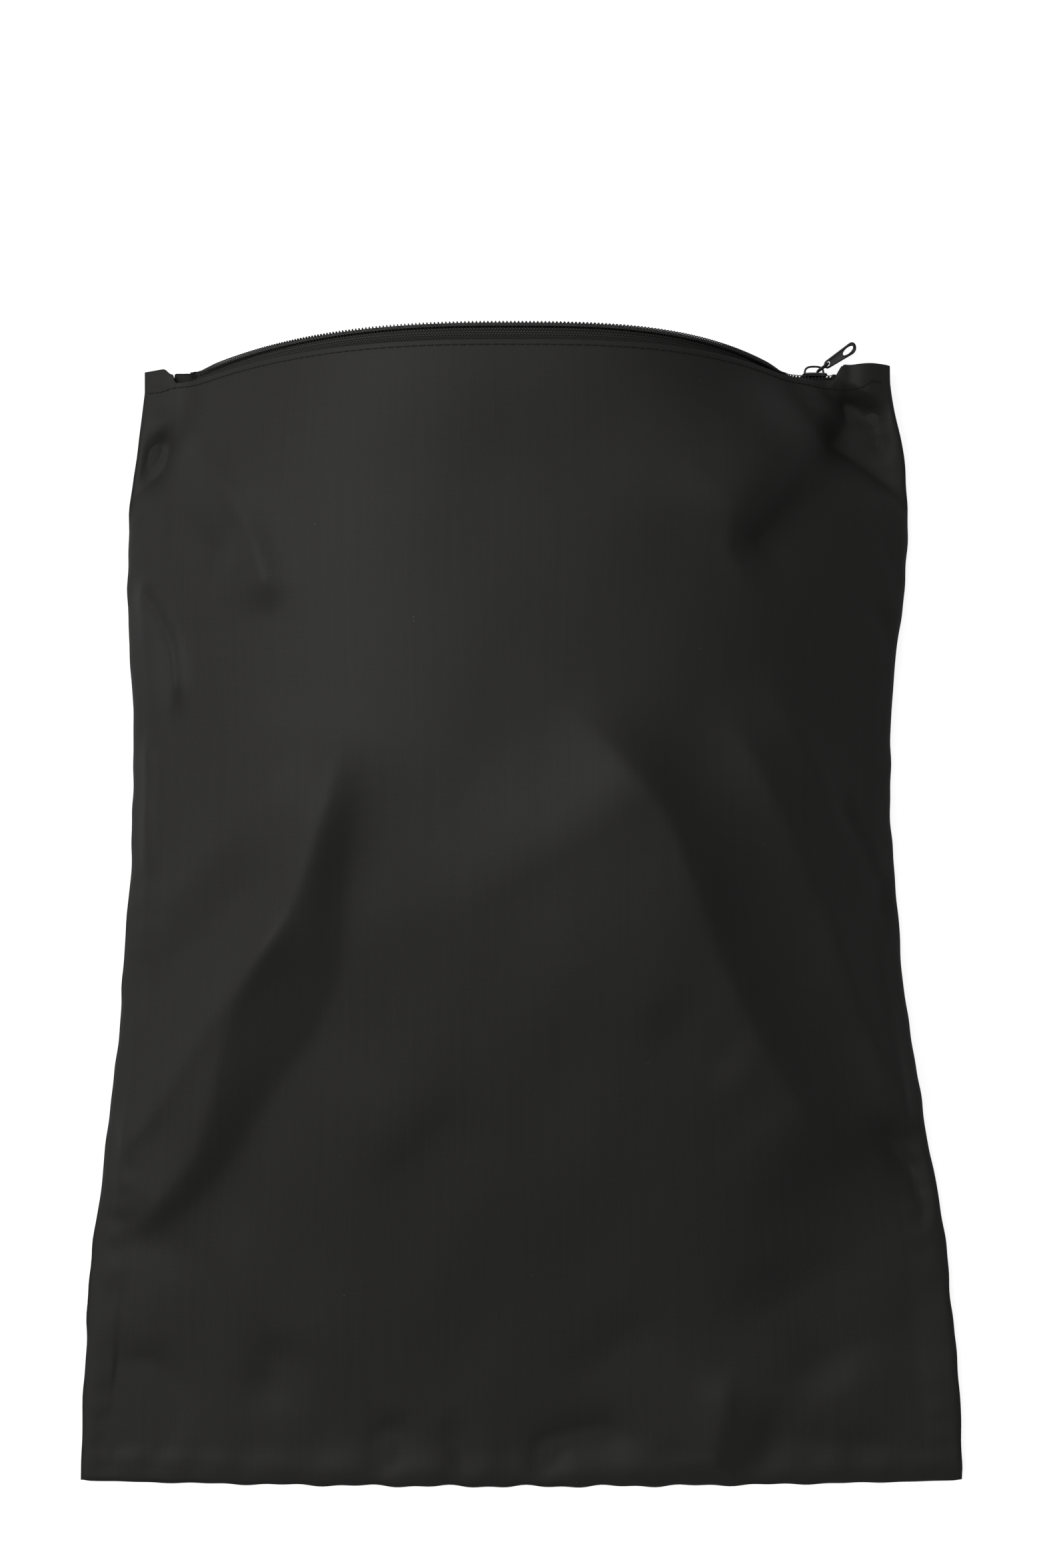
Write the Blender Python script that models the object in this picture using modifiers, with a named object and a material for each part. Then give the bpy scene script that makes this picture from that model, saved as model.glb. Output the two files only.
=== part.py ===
"""Flat zip shoe bag, lying on its back with its front panel raised the way a pair of shoes holds it.

Metres, +Z up. X runs along the zip, +Y points towards the mouth, and z = 0 is the back panel's underside.
The slider stands at the right end of the chain, so the mouth is open, and it closes the bag towards -X.
"""
import math

import bpy
import bmesh
import numpy as np
from mathutils import Matrix, Vector

# Outline of the bag as it lies, from the bottom seam to the ears beside the zip
BOTTOM_Y = -0.2275
HALF_WIDTHS = ((BOTTOM_Y, 0.1808), (0.060, 0.1550), (0.165, 0.1586), (0.2285, 0.1522))
HEM_Y = 0.2195              # folded edge of both panels behind the zip
LEFT_EAR_Y = 0.2256
RIGHT_EAR_Y = 0.2285
EAR_START = 0.1390          # distance from the middle where the hem turns up into an ear
EAR_FULL = 0.1430

# Fabric and the stack of layers at the seams
FABRIC = 0.0010
GAP = 0.0003
SEAM_THICK = 0.0008
SEAM_WIDTH = 0.012
RIM_Z = FABRIC + SEAM_THICK + 2 * GAP

# Raised front panel
CROWN = 0.080               # height over the heels, above the rim
MOUTH_CROWN = 0.0773
HEEL_Y = 0.075
RAMP_POWER = 1.8
SECTION_POWER = 2.6
CREST_X = -0.005
MOUTH_START_Y = 0.165
MOUTH_FEET = (-0.131, 0.109)
MOUTH_POWERS = (2.4, 3.0)
HEM_LIFT = 0.0098           # the zip's own height lifts the hem at both ends of the arch

# Zip
CHAIN_Y = 0.2228
CHAIN_Z = 0.0065
COIL_RADIUS = 0.0010
COIL_SPREAD = 0.0016        # each coil's centre above or below the chain's centre
COIL_END = 0.1275
TAPE_END = 0.1314
TAPE_THICK = 0.0005
TAPE_HIDDEN_Y = 0.2125      # the tape's sewn edge, inside the hem
TAPE_BELOW = 0.0008         # from the panel's inner face to the front tape
TAPE_REACH = COIL_RADIUS + 0.0008
LEAN = 0.0425               # the raised chain leans forward by this much for each unit of height
END_DROP = 0.0036           # coil below the hem at the ends, and over the arch
ARCH_DROP = 0.0006
ARCH_FULL = 0.020
STITCH_Y = 0.2180
STITCH_RADIUS = 0.0003
TAB_SPAN = (0.1328, 0.1386)
BAR_TACKS = (0.1287, 0.1303)

# Slider and its two-part pull
SLIDER_LEFT = 0.1162
SLIDER_RIGHT = 0.1263
SLIDER_HALF_Z = 0.0040
PLATE_INNER = 0.00135
PLATE_OUTER = 0.00225
FLANGE_SLOT = 0.0006
FLANGE_Z = 0.0030
DIAMOND_HALF_Z = 0.0003
BRIDGE_WIRE = 0.0005
LINK_WIRE = 0.00045
LINK_LENGTH = 0.0050
LINK_HALF_Z = 0.0026
HINGE_X = 0.1226
HINGE_Y = CHAIN_Y + PLATE_OUTER + 0.0013
LINK_ANGLE = math.radians(35.0)
TAB_THICK = 0.0010
TAB_LENGTH = 0.0165
TAB_BASE_HALF = 0.0018
TAB_TIP_HALF = 0.0026
TAB_ROLL = math.radians(42.0)
TAB_DROOP = math.radians(12.0)

# Columns and rows of the front panel's cage
MIDDLE_COLUMNS = 27
LOWER_ROWS = 16
MOUTH_ROWS = (0.180, 0.189, 0.197, 0.205, TAPE_HIDDEN_Y, STITCH_Y)


def smooth(t):
    """Half a cosine wave from 0 to 1, flat at both ends."""
    return 0.5 - 0.5 * np.cos(math.pi * np.clip(t, 0.0, 1.0))


def half_width(y):
    """Half the bag's width at y: half-cosine stretches between the four stations."""
    width = np.full(np.shape(y), HALF_WIDTHS[0][1])
    for (y0, w0), (y1, w1) in zip(HALF_WIDTHS, HALF_WIDTHS[1:]):
        width = np.where(y >= y0, w0 + (w1 - w0) * smooth((y - y0) / (y1 - y0)), width)
    return width


def mouth_edge(s):
    """y of the folded mouth edge at the share s of the half width: the hem, turned up into an ear."""
    ear = np.where(s < 0, LEFT_EAR_Y, RIGHT_EAR_Y)
    x = np.abs(s) * half_width(np.float64(HEM_Y))
    return HEM_Y + (ear - HEM_Y) * smooth((x - EAR_START) / (EAR_FULL - EAR_START))


def dome(x, y):
    """Height of the front panel's inner face: a crown that ramps up from the bottom seam to the heels,
    and sections that fall off as 1 - |u|^n, whose feet draw in from the side seams to the mouth's arch."""
    ramp = np.sin(0.5 * math.pi * np.clip((y - BOTTOM_Y) / (HEEL_Y - BOTTOM_Y), 0, 1)) ** RAMP_POWER
    mouth = smooth((y - MOUTH_START_Y) / (HEM_Y - MOUTH_START_Y))
    crown = CROWN * ramp * (1 - mouth) + MOUTH_CROWN * mouth
    edge = half_width(y)
    left = -edge * (1 - mouth) + MOUTH_FEET[0] * mouth
    right = edge * (1 - mouth) + MOUTH_FEET[1] * mouth
    u = np.where(x > CREST_X, (x - CREST_X) / (right - CREST_X), (CREST_X - x) / (CREST_X - left))
    end_power = np.where(x > CREST_X, MOUTH_POWERS[1], MOUTH_POWERS[0])
    power = SECTION_POWER * (1 - mouth) + end_power * mouth
    lift = HEM_LIFT * mouth * smooth((0.1500 - np.abs(x)) / 0.0110)
    return RIM_Z + lift + crown * (1 - np.clip(u, 0, 1) ** power)


def dome_normal(x, y):
    """Unit normal of the dome, from its slopes."""
    step = 1e-4
    slope_x = (dome(x + step, y) - dome(x - step, y)) / (2 * step)
    slope_y = (dome(x, y + step) - dome(x, y - step)) / (2 * step)
    normal = np.stack([-slope_x, -slope_y, np.ones_like(slope_x)], axis=-1)
    return normal / np.linalg.norm(normal, axis=-1, keepdims=True)


def panel_columns():
    """Shares of the half width where the cage has its columns, with one on each step of the ears."""
    hem_half = float(half_width(np.float64(HEM_Y)))
    middle = np.linspace(-EAR_START, EAR_START, MIDDLE_COLUMNS) / hem_half
    ears = np.array([EAR_FULL, 0.5 * (EAR_FULL + hem_half), hem_half]) / hem_half
    return np.concatenate([-ears[::-1], middle, ears])


def new_collection(name):
    collection = bpy.data.collections.new(name)
    bpy.context.scene.collection.children.link(collection)
    return collection


def material(name, colour, roughness, metallic=0.0):
    mat = bpy.data.materials.new(name)
    mat.use_nodes = True
    shader = mat.node_tree.nodes["Principled BSDF"]
    shader.inputs["Base Color"].default_value = (*colour, 1.0)
    shader.inputs["Roughness"].default_value = roughness
    shader.inputs["Metallic"].default_value = metallic
    return mat


def finish(obj, mat, collection):
    """Give an object its own material and put it in its collection."""
    for other in list(obj.users_collection):
        other.objects.unlink(obj)
    collection.objects.link(obj)
    obj.data.materials.clear()
    obj.data.materials.append(mat)
    return obj


def sheet(name, points, thickness, offset, mat, collection):
    """A grid cage moved to points (rows, columns, 3), facing up, and given its thickness by Solidify."""
    rows, columns = points.shape[:2]
    bm = bmesh.new()
    bmesh.ops.create_grid(bm, x_segments=columns - 1, y_segments=rows - 1, size=1.0)
    bm.verts.ensure_lookup_table()
    for vert, point in zip(bm.verts, points.reshape(-1, 3)):
        vert.co = point
    bm.normal_update()
    if sum(face.normal.z * face.calc_area() for face in bm.faces) < 0:
        bmesh.ops.reverse_faces(bm, faces=bm.faces)
    mesh = bpy.data.meshes.new(name)
    bm.to_mesh(mesh)
    bm.free()
    obj = bpy.data.objects.new(name, mesh)
    solidify = obj.modifiers.new("thickness", "SOLIDIFY")
    solidify.thickness = thickness
    solidify.offset = offset
    mesh.shade_smooth()
    return finish(obj, mat, collection)


def wire(name, points, radius, mat, collection, cyclic=False):
    """A round thread or wire along points: a poly spline with a bevel and filled caps."""
    curve = bpy.data.curves.new(name, "CURVE")
    curve.dimensions = "3D"
    curve.bevel_depth = radius
    curve.bevel_resolution = 2
    curve.resolution_u = 1
    curve.render_resolution_u = 0
    curve.use_fill_caps = not cyclic
    spline = curve.splines.new("POLY")
    spline.points.add(len(points) - 1)
    for point, place in zip(spline.points, points):
        point.co = (*place, 1.0)
    spline.use_cyclic_u = cyclic
    obj = bpy.data.objects.new(name, curve)
    return finish(obj, mat, collection)


def block(name, low, high, mat, collection, bevel=0.0):
    """A box between two corners, with rounded edges where a bevel is given."""
    bpy.ops.mesh.primitive_cube_add(size=1.0)
    obj = bpy.context.active_object
    obj.name = name
    obj.data.name = name
    low = Vector(low)
    high = Vector(high)
    size = high - low
    obj.data.transform(Matrix.Translation((low + high) / 2) @ Matrix.Diagonal((*size, 1.0)))
    if bevel:
        rounding = obj.modifiers.new("rounding", "BEVEL")
        rounding.width = bevel
        rounding.segments = 2
    return finish(obj, mat, collection)


def place_on_axis(obj, pivot, turn=None):
    """Put an object's origin on its joint axis, for a shape drawn around its own zero."""
    obj.matrix_world = Matrix.Translation(pivot) @ (turn or Matrix.Identity(4))


def build_panels(fabric_front, fabric_back, parts):
    """Front panel as a raised cage, back panel as a flat one with the same outline."""
    shares = panel_columns()[None, :]
    rows = np.concatenate([np.linspace(BOTTOM_Y, MOUTH_START_Y, LOWER_ROWS), MOUTH_ROWS, [HEM_Y]])
    y = np.repeat(rows[:, None], shares.shape[1], axis=1)
    x = shares * half_width(y)
    z = dome(x, y)
    y[-1] = mouth_edge(shares[0])
    z[-1] = dome(x[-1], np.full_like(x[-1], HEM_Y))
    sheet("front_panel", np.stack([x, y, z], axis=-1), FABRIC, 1.0, fabric_front, parts)
    flat = np.zeros_like(x)
    sheet("back_panel", np.stack([x, y, flat], axis=-1), FABRIC, 1.0, fabric_back, parts)


def build_seams(mat, parts):
    """Inner seam allowances: a strip along each side and one across the bottom."""
    level = FABRIC + GAP
    side_y = np.linspace(BOTTOM_Y + SEAM_WIDTH + GAP, LEFT_EAR_Y - 0.0026, 22)
    for side, name in ((-1, "left_side_seam"), (1, "right_side_seam")):
        outer = half_width(side_y) - 0.0008
        ends = np.stack([outer, outer - SEAM_WIDTH], axis=1)
        x = side * ends
        y = np.repeat(side_y[:, None], 2, axis=1)
        points = np.stack([x, y, np.full_like(x, level)], axis=-1)
        sheet(name, points, SEAM_THICK, 1.0, mat[name], parts)
    across = np.linspace(-0.998, 0.998, 16)[None, :] * np.ones((2, 1))
    y = np.array([BOTTOM_Y + 0.0008, BOTTOM_Y + SEAM_WIDTH])[:, None] * np.ones((1, 16))
    x = across * half_width(y)
    points = np.stack([x, y, np.full_like(x, level)], axis=-1)
    sheet("bottom_seam", points, SEAM_THICK, 1.0, mat["bottom_seam"], parts)


def front_coil_line(x):
    """Centre of the front coil over x, and how far it has risen into the arch, from 0 to 1."""
    hem = dome(x, np.full_like(x, HEM_Y))
    risen = smooth((hem - RIM_Z - HEM_LIFT) / ARCH_FULL)
    z = hem - END_DROP + (END_DROP - ARCH_DROP) * risen
    y = CHAIN_Y + LEAN * (z - CHAIN_Z)
    return np.stack([x, y, z], axis=-1), risen


def build_front_tape(mat, parts):
    """The front tape: sewn edge inside the hem, then a quadratic bend out to the coil. Over the arch
    it runs level with the coil, and at the ends it turns down into the slider's slot."""
    shares = panel_columns()
    x_hem = shares * half_width(np.float64(HEM_Y))
    keep = np.abs(x_hem) < TAPE_END - 0.001
    shares = np.concatenate([[-TAPE_END / half_width(np.float64(HEM_Y))], shares[keep],
                             [TAPE_END / half_width(np.float64(HEM_Y))]])
    rows = []
    for y in (TAPE_HIDDEN_Y, HEM_Y):
        level = np.full(shares.shape, y)
        x = shares * half_width(level)
        base = np.stack([x, level, dome(x, level)], axis=-1)
        rows.append(base - TAPE_BELOW * dome_normal(x, level))
    hem_row = rows[-1]
    coil, risen = front_coil_line(shares * half_width(np.float64(HEM_Y)))
    angle = 0.5 * math.pi * (1 - risen)
    along = np.gradient(coil, axis=0)
    along[:, 2] *= smooth(4 * risen)
    along /= np.linalg.norm(along, axis=-1, keepdims=True)
    away = np.stack([np.zeros_like(angle), -np.cos(angle), np.sin(angle)], axis=-1)
    away -= np.sum(away * along, axis=-1, keepdims=True) * along
    away /= np.linalg.norm(away, axis=-1, keepdims=True)
    outward = np.cross(away, along)
    outward *= np.sign(outward[:, 1:2] + outward[:, 2:3])
    end = coil + TAPE_REACH * away + 0.5 * TAPE_THICK * outward
    reach = np.linalg.norm(hem_row - end, axis=-1, keepdims=True)
    bend = end + 0.6 * reach * away
    for t in (0.2, 0.4, 0.6, 0.8, 1.0):
        rows.append((1 - t) ** 2 * hem_row + 2 * t * (1 - t) * bend + t ** 2 * end)
    sheet("front_zipper_tape", np.stack(rows), TAPE_THICK, -1.0, mat, parts)


def build_back_tape(mat, parts):
    """The back tape: flat on the back panel's hem, then turned up to the back coil."""
    face = CHAIN_Y + 0.5 * TAPE_THICK
    flat_z = FABRIC + GAP
    top = CHAIN_Z - COIL_SPREAD - TAPE_REACH
    profile = ((TAPE_HIDDEN_Y, flat_z), (HEM_Y, flat_z), (CHAIN_Y - 0.0006, flat_z),
               (face - 0.0001, flat_z + 0.0003), (face, flat_z + 0.0008), (face, top))
    x = np.linspace(-TAPE_END, TAPE_END, 3)
    rows = [np.stack([x, np.full(3, y), np.full(3, z)], axis=-1) for y, z in profile]
    sheet("back_zipper_tape", np.stack(rows), TAPE_THICK, 1.0, mat, parts)


def build_coils(mat, parts):
    """Nylon coils as plain round cords of the coil's own diameter."""
    shares = panel_columns()
    x = shares * half_width(np.float64(HEM_Y))
    x = np.concatenate([[-COIL_END], x[np.abs(x) < COIL_END - 0.001], [COIL_END]])
    line, _ = front_coil_line(x)
    wire("front_coil", line, COIL_RADIUS, mat["front_coil"], parts)
    z = CHAIN_Z - COIL_SPREAD
    wire("back_coil", [(-COIL_END, CHAIN_Y, z), (COIL_END, CHAIN_Y, z)], COIL_RADIUS,
         mat["back_coil"], parts)


def build_stitching(mat, parts):
    """Topstitch threads along both hems and the bar tacks that close both ends of the zip."""
    shares = panel_columns()[1:-1]
    y = np.full(shares.shape, STITCH_Y)
    x = shares * half_width(y)
    base = np.stack([x, y, dome(x, y)], axis=-1)
    line = base + (FABRIC + GAP + STITCH_RADIUS) * dome_normal(x, y)
    wire("front_topstitch", line, STITCH_RADIUS, mat["front_topstitch"], parts)
    level = FABRIC + GAP + TAPE_THICK + GAP + STITCH_RADIUS
    ends = [(-0.130, STITCH_Y, level), (0.130, STITCH_Y, level)]
    wire("back_topstitch", ends, STITCH_RADIUS, mat["back_topstitch"], parts)
    face = CHAIN_Y + 0.5 * TAPE_THICK + GAP + STITCH_RADIUS
    for side, word in ((-1, "left"), (1, "right")):
        for number, distance in enumerate(BAR_TACKS, start=1):
            name = f"{word}_bar_tack_{number}"
            ends = [(side * distance, face, 0.0028), (side * distance, face, 0.0100)]
            wire(name, ends, STITCH_RADIUS, mat[name], parts)


def build_end_tabs(mat, parts):
    """Folded fabric tabs that cover both cut ends of the zip."""
    for side, name in ((-1, "left_end_tab"), (1, "right_end_tab")):
        xs = sorted((side * TAB_SPAN[0], side * TAB_SPAN[1]))
        low = (xs[0], CHAIN_Y - 0.0020, 0.0026)
        high = (xs[1], CHAIN_Y + 0.0016, 0.0108)
        block(name, low, high, mat[name], parts, bevel=0.0008)


def build_slider(mat, parts, cutters):
    """Two plates with flanges, held apart by the diamond at the end that opens the chain."""
    z_low = CHAIN_Z - SLIDER_HALF_Z
    z_high = CHAIN_Z + SLIDER_HALF_Z
    outer = (SLIDER_LEFT, CHAIN_Y + PLATE_INNER, z_low), (SLIDER_RIGHT, CHAIN_Y + PLATE_OUTER, z_high)
    body = block("slider_body", *outer, mat["slider_body"], parts)
    overlap = 0.0001
    joined = [((SLIDER_LEFT, CHAIN_Y - PLATE_OUTER, z_low), (SLIDER_RIGHT, CHAIN_Y - PLATE_INNER, z_high)),
              ((SLIDER_LEFT + 0.0007, CHAIN_Y - PLATE_INNER - overlap, CHAIN_Z - DIAMOND_HALF_Z),
               (SLIDER_LEFT + 0.0040, CHAIN_Y + PLATE_INNER + overlap, CHAIN_Z + DIAMOND_HALF_Z))]
    for y_side in (-1, 1):
        ys = sorted((CHAIN_Y + y_side * FLANGE_SLOT, CHAIN_Y + y_side * (PLATE_INNER + overlap)))
        for z_side in (-1, 1):
            zs = sorted((CHAIN_Z + z_side * FLANGE_Z, CHAIN_Z + z_side * (SLIDER_HALF_Z - overlap)))
            joined.append(((SLIDER_LEFT + 0.0016, ys[0], zs[0]), (SLIDER_RIGHT - overlap, ys[1], zs[1])))
    for number, (low, high) in enumerate(joined):
        piece = block(f"slider_union_{number}", low, high, mat["slider_body"], cutters)
        piece.hide_render = True
        piece.display_type = "WIRE"
        union = body.modifiers.new(piece.name, "BOOLEAN")
        union.operation = "UNION"
        union.object = piece
    foot = CHAIN_Y + PLATE_OUTER + GAP + BRIDGE_WIRE
    top = HINGE_Y + 0.0018
    left = SLIDER_LEFT + 0.0010
    right = HINGE_X + 0.0024
    arch = [(left, foot, CHAIN_Z)]
    for step in range(7):
        turn = math.pi * (1 - 0.5 * step / 6)
        arch.append((left + 0.0022 + 0.0022 * math.cos(turn), foot + (top - foot) * math.sin(turn), CHAIN_Z))
    for step in range(1, 7):
        turn = 0.5 * math.pi * (1 - step / 6)
        arch.append((right - 0.0016 + 0.0016 * math.cos(turn), foot + (top - foot) * math.sin(turn), CHAIN_Z))
    wire("slider_bridge", arch[1:], BRIDGE_WIRE, mat["slider_bridge"], parts)


def rounded_loop(length, half, corner, steps):
    """Corner points of a closed loop in x and z, from the hinge bar at x = 0 to the bar at x = length."""
    points = []
    for cx, cz, start in ((length - corner, half - corner, 0.0), (corner, half - corner, 90.0),
                          (corner, corner - half, 180.0), (length - corner, corner - half, 270.0)):
        for step in range(steps + 1):
            angle = math.radians(start + 90.0 * step / steps)
            points.append((cx + corner * math.cos(angle), 0.0, cz + corner * math.sin(angle)))
    return points


def tab_outline():
    """Outline of the pull tab around its link hole at zero: a round base, straight tapered sides and a
    round tip."""
    points = []
    for step in range(9):
        angle = math.radians(90.0 + 180.0 * step / 8)
        points.append((TAB_BASE_HALF * math.cos(angle), TAB_BASE_HALF * math.sin(angle)))
    tip = TAB_LENGTH - TAB_TIP_HALF - 0.0018
    for step in range(11):
        angle = math.radians(-90.0 + 180.0 * step / 10)
        points.append((tip + TAB_TIP_HALF * math.cos(angle), TAB_TIP_HALF * math.sin(angle)))
    return points


def ellipse(cx, rx, ry, count):
    turns = [2 * math.pi * step / count for step in range(count)]
    return [(cx + rx * math.cos(turn), ry * math.sin(turn)) for turn in turns]


def build_pull(mat, parts):
    """The wire link through the bridge and the pull tab that hangs on it."""
    hinge = Vector((HINGE_X, HINGE_Y, CHAIN_Z))
    turn = Matrix.Rotation(LINK_ANGLE, 4, "Z")
    loop = rounded_loop(LINK_LENGTH, LINK_HALF_Z, 0.0012, 3)
    link = wire("pull_link", loop, LINK_WIRE, mat["pull_link"], parts, cyclic=True)
    place_on_axis(link, hinge, turn)
    curve = bpy.data.curves.new("pull_tab", "CURVE")
    curve.dimensions = "2D"
    curve.fill_mode = "BOTH"
    curve.extrude = TAB_THICK / 2
    curve.resolution_u = 1
    curve.render_resolution_u = 0
    far_hole = ellipse(TAB_LENGTH - 0.0058, 0.0029, 0.0016, 16)
    for outline in (tab_outline(), ellipse(0.0, 0.00125, 0.00125, 12), far_hole):
        spline = curve.splines.new("POLY")
        spline.points.add(len(outline) - 1)
        for point, place in zip(spline.points, outline):
            point.co = (place[0], place[1], 0.0, 1.0)
        spline.use_cyclic_u = True
    tab = bpy.data.objects.new("pull_tab", curve)
    finish(tab, mat["pull_tab"], parts)
    pivot = hinge + turn.to_3x3() @ Vector((LINK_LENGTH, 0.0, 0.0))
    lie = Matrix.Rotation(TAB_DROOP, 4, "Y") @ Matrix.Rotation(TAB_ROLL, 4, "X")
    place_on_axis(tab, pivot, turn @ lie)


def main():
    for obj in list(bpy.data.objects):
        bpy.data.objects.remove(obj)
    parts = new_collection("shoe_bag")
    cutters = new_collection("cutters")
    cutters.hide_render = True
    fabric = (0.030, 0.028, 0.028)
    binding = (0.022, 0.021, 0.022)
    nylon = (0.018, 0.017, 0.018)
    enamel = (0.040, 0.037, 0.038)
    looks = {"front_panel": (fabric, 0.62, 0.0), "back_panel": (fabric, 0.62, 0.0),
             "left_side_seam": (binding, 0.75, 0.0), "right_side_seam": (binding, 0.75, 0.0),
             "bottom_seam": (binding, 0.75, 0.0), "front_zipper_tape": (nylon, 0.70, 0.0),
             "back_zipper_tape": (nylon, 0.70, 0.0), "front_coil": (nylon, 0.40, 0.0),
             "back_coil": (nylon, 0.40, 0.0), "front_topstitch": (nylon, 0.60, 0.0),
             "back_topstitch": (nylon, 0.60, 0.0), "left_end_tab": (fabric, 0.65, 0.0),
             "right_end_tab": (fabric, 0.65, 0.0), "left_bar_tack_1": (nylon, 0.60, 0.0),
             "left_bar_tack_2": (nylon, 0.60, 0.0), "right_bar_tack_1": (nylon, 0.60, 0.0),
             "right_bar_tack_2": (nylon, 0.60, 0.0), "slider_body": (enamel, 0.35, 0.8),
             "slider_bridge": (enamel, 0.30, 0.8), "pull_link": (enamel, 0.30, 0.8),
             "pull_tab": (enamel, 0.35, 0.8)}
    mat = {name: material(name, *look) for name, look in looks.items()}
    build_panels(mat["front_panel"], mat["back_panel"], parts)
    build_seams(mat, parts)
    build_front_tape(mat["front_zipper_tape"], parts)
    build_back_tape(mat["back_zipper_tape"], parts)
    build_coils(mat, parts)
    build_stitching(mat, parts)
    build_end_tabs(mat, parts)
    build_slider(mat, parts, cutters)
    build_pull(mat, parts)


main()
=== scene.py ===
"""Looks of a flat zip shoe bag that lies on its back, its front panel raised as over a pair of shoes.

Metres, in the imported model's frame: +X along the zip, +Y towards the mouth, +Z up from the floor at z = 0.
"""

import math

import bmesh
import bpy
import numpy as np
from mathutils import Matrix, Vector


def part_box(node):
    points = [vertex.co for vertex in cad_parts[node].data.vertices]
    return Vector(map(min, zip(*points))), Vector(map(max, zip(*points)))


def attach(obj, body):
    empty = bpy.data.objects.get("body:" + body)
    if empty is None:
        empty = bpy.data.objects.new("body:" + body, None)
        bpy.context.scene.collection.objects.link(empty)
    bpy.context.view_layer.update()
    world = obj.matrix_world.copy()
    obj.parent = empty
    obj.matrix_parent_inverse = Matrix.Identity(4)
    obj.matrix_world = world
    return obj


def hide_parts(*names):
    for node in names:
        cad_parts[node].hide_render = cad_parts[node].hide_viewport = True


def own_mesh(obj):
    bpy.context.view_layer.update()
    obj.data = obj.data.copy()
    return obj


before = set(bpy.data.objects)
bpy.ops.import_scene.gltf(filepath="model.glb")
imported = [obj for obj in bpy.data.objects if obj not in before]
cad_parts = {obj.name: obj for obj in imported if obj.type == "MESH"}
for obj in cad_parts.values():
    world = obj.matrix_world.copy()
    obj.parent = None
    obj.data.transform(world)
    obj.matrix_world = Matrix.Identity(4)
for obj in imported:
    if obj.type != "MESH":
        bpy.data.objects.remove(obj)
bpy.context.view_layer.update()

# ---- Driving sizes, in metres ----
CUT_WIDTH = 0.360            # flat finished width of each panel
CUT_LENGTH = 0.460           # flat finished length, without the turned hem
CLOTH = 0.00045              # cloth thickness
BOTTOM_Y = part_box("front_panel")[0].y
# Distance of each side seam from the middle, at stations along the bag
LEFT_SIDE = ((BOTTOM_Y, 0.1785), (0.060, 0.1571), (0.150, 0.1590), (0.2285, 0.1522))
RIGHT_SIDE = ((BOTTOM_Y, 0.1826), (0.062, 0.1526), (0.170, 0.1597), (0.2285, 0.1522))
BOTTOM_SAG = 0.0025
MM = 0.001
HEM_Y = 0.2195
LEVEL_Y = HEM_Y + 0.0030     # past this line the ears lie level
FOLD_Y = HEM_Y + 0.0003      # straight stretch of the folded edge
BACK_STITCH_Y = 0.2180
HEM_TURN = 0.010             # width of the hem's turned layer
LEFT_EAR_Y = 0.2256
RIGHT_EAR_Y = 0.2282
EAR_START = 0.1392
EAR_FULL = 0.1428
SEAM_WIDTH = 0.012
SEAM_CLOTH = 0.0007          # both layers of a seam allowance
SEAM_Z = 0.00112             # middle height of the seam allowances
OVERLOCK_STEP = 0.00075      # a quarter of an overlock loop
FINE_THREAD = 0.00016        # radius of the overlock and coil sewing thread
HEM_ROLL = 0.00045           # radius of the folded edge
RIM_Z = 0.0006               # underside of the front panel on the outline

# Raised front panel
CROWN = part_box("front_panel")[1].z - 0.0110
MOUTH_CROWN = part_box("front_panel")[1].z - 0.0140
HEEL_Y = 0.075
CREST_X = -0.005
MOUTH_START_Y = 0.165
MOUTH_FEET = (-0.131, 0.109)
MOUTH_POWERS = (2.4, 3.0)
SECTION_POWER = 2.6
HEM_Z = 0.0122               # height of the hem at both ends of the arch
EAR_Z = 0.0035               # height of the side seams at the ears
FACE_LIFT = 0.0008           # outer face of the cloth above the dome line

# Zip
back_low, back_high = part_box("back_coil")
CHAIN_Y = (back_low.y + back_high.y) / 2
slider_low, slider_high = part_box("slider_body")
CHAIN_Z = (slider_low.z + slider_high.z) / 2
COIL_SPREAD = CHAIN_Z - (back_low.z + back_high.z) / 2
COIL_END = back_high.x + 0.0030   # the last turns lie under the bar tacks
COIL_PITCH = 0.0014
COIL_HALF = 0.00093          # half the coil's width across the chain
COIL_TALL = 0.00080
COIL_WIRE = 0.00027
TAPE_END = 0.1314
TAPE_THICK = 0.00045
TAPE_BELOW = 0.00118         # middle of the tape under the hem's outer face
TAPE_HIDDEN = 0.0028         # width of tape under the hem
LEAN = 0.0425                # forward lean of the raised chain for each unit of height
TAB_OVERLAP = (0.0017, 0.0009)   # end tabs over the tape's cut ends, and onto the hem
STITCH_INSET = 0.0016        # topstitch behind the folded edge
STITCH_PITCH = 0.0030
TACK_TURNS = 25


# ---- Mesh helpers ----
def new_piece(name, verts, faces):
    """A mesh object at the origin from points and faces."""
    mesh = bpy.data.meshes.new(name)
    mesh.from_pydata(verts.reshape(-1, 3).tolist(), [], faces)
    mesh.update()
    obj = bpy.data.objects.new(name, mesh)
    bpy.context.scene.collection.objects.link(obj)
    return obj


def grid_faces(rows, columns, wrap_rows=False, wrap_columns=False, start=0):
    """One quad for each cell of a grid, facing the side from which rows x columns turn anticlockwise."""
    r0, c0 = np.meshgrid(np.arange(rows if wrap_rows else rows - 1),
                         np.arange(columns if wrap_columns else columns - 1), indexing="ij")
    r1 = (r0 + 1) % rows
    c1 = (c0 + 1) % columns
    cells = [r0 * columns + c0, r0 * columns + c1, r1 * columns + c1, r1 * columns + c0]
    return (np.stack(cells, axis=-1).reshape(-1, 4) + start).tolist()


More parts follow.
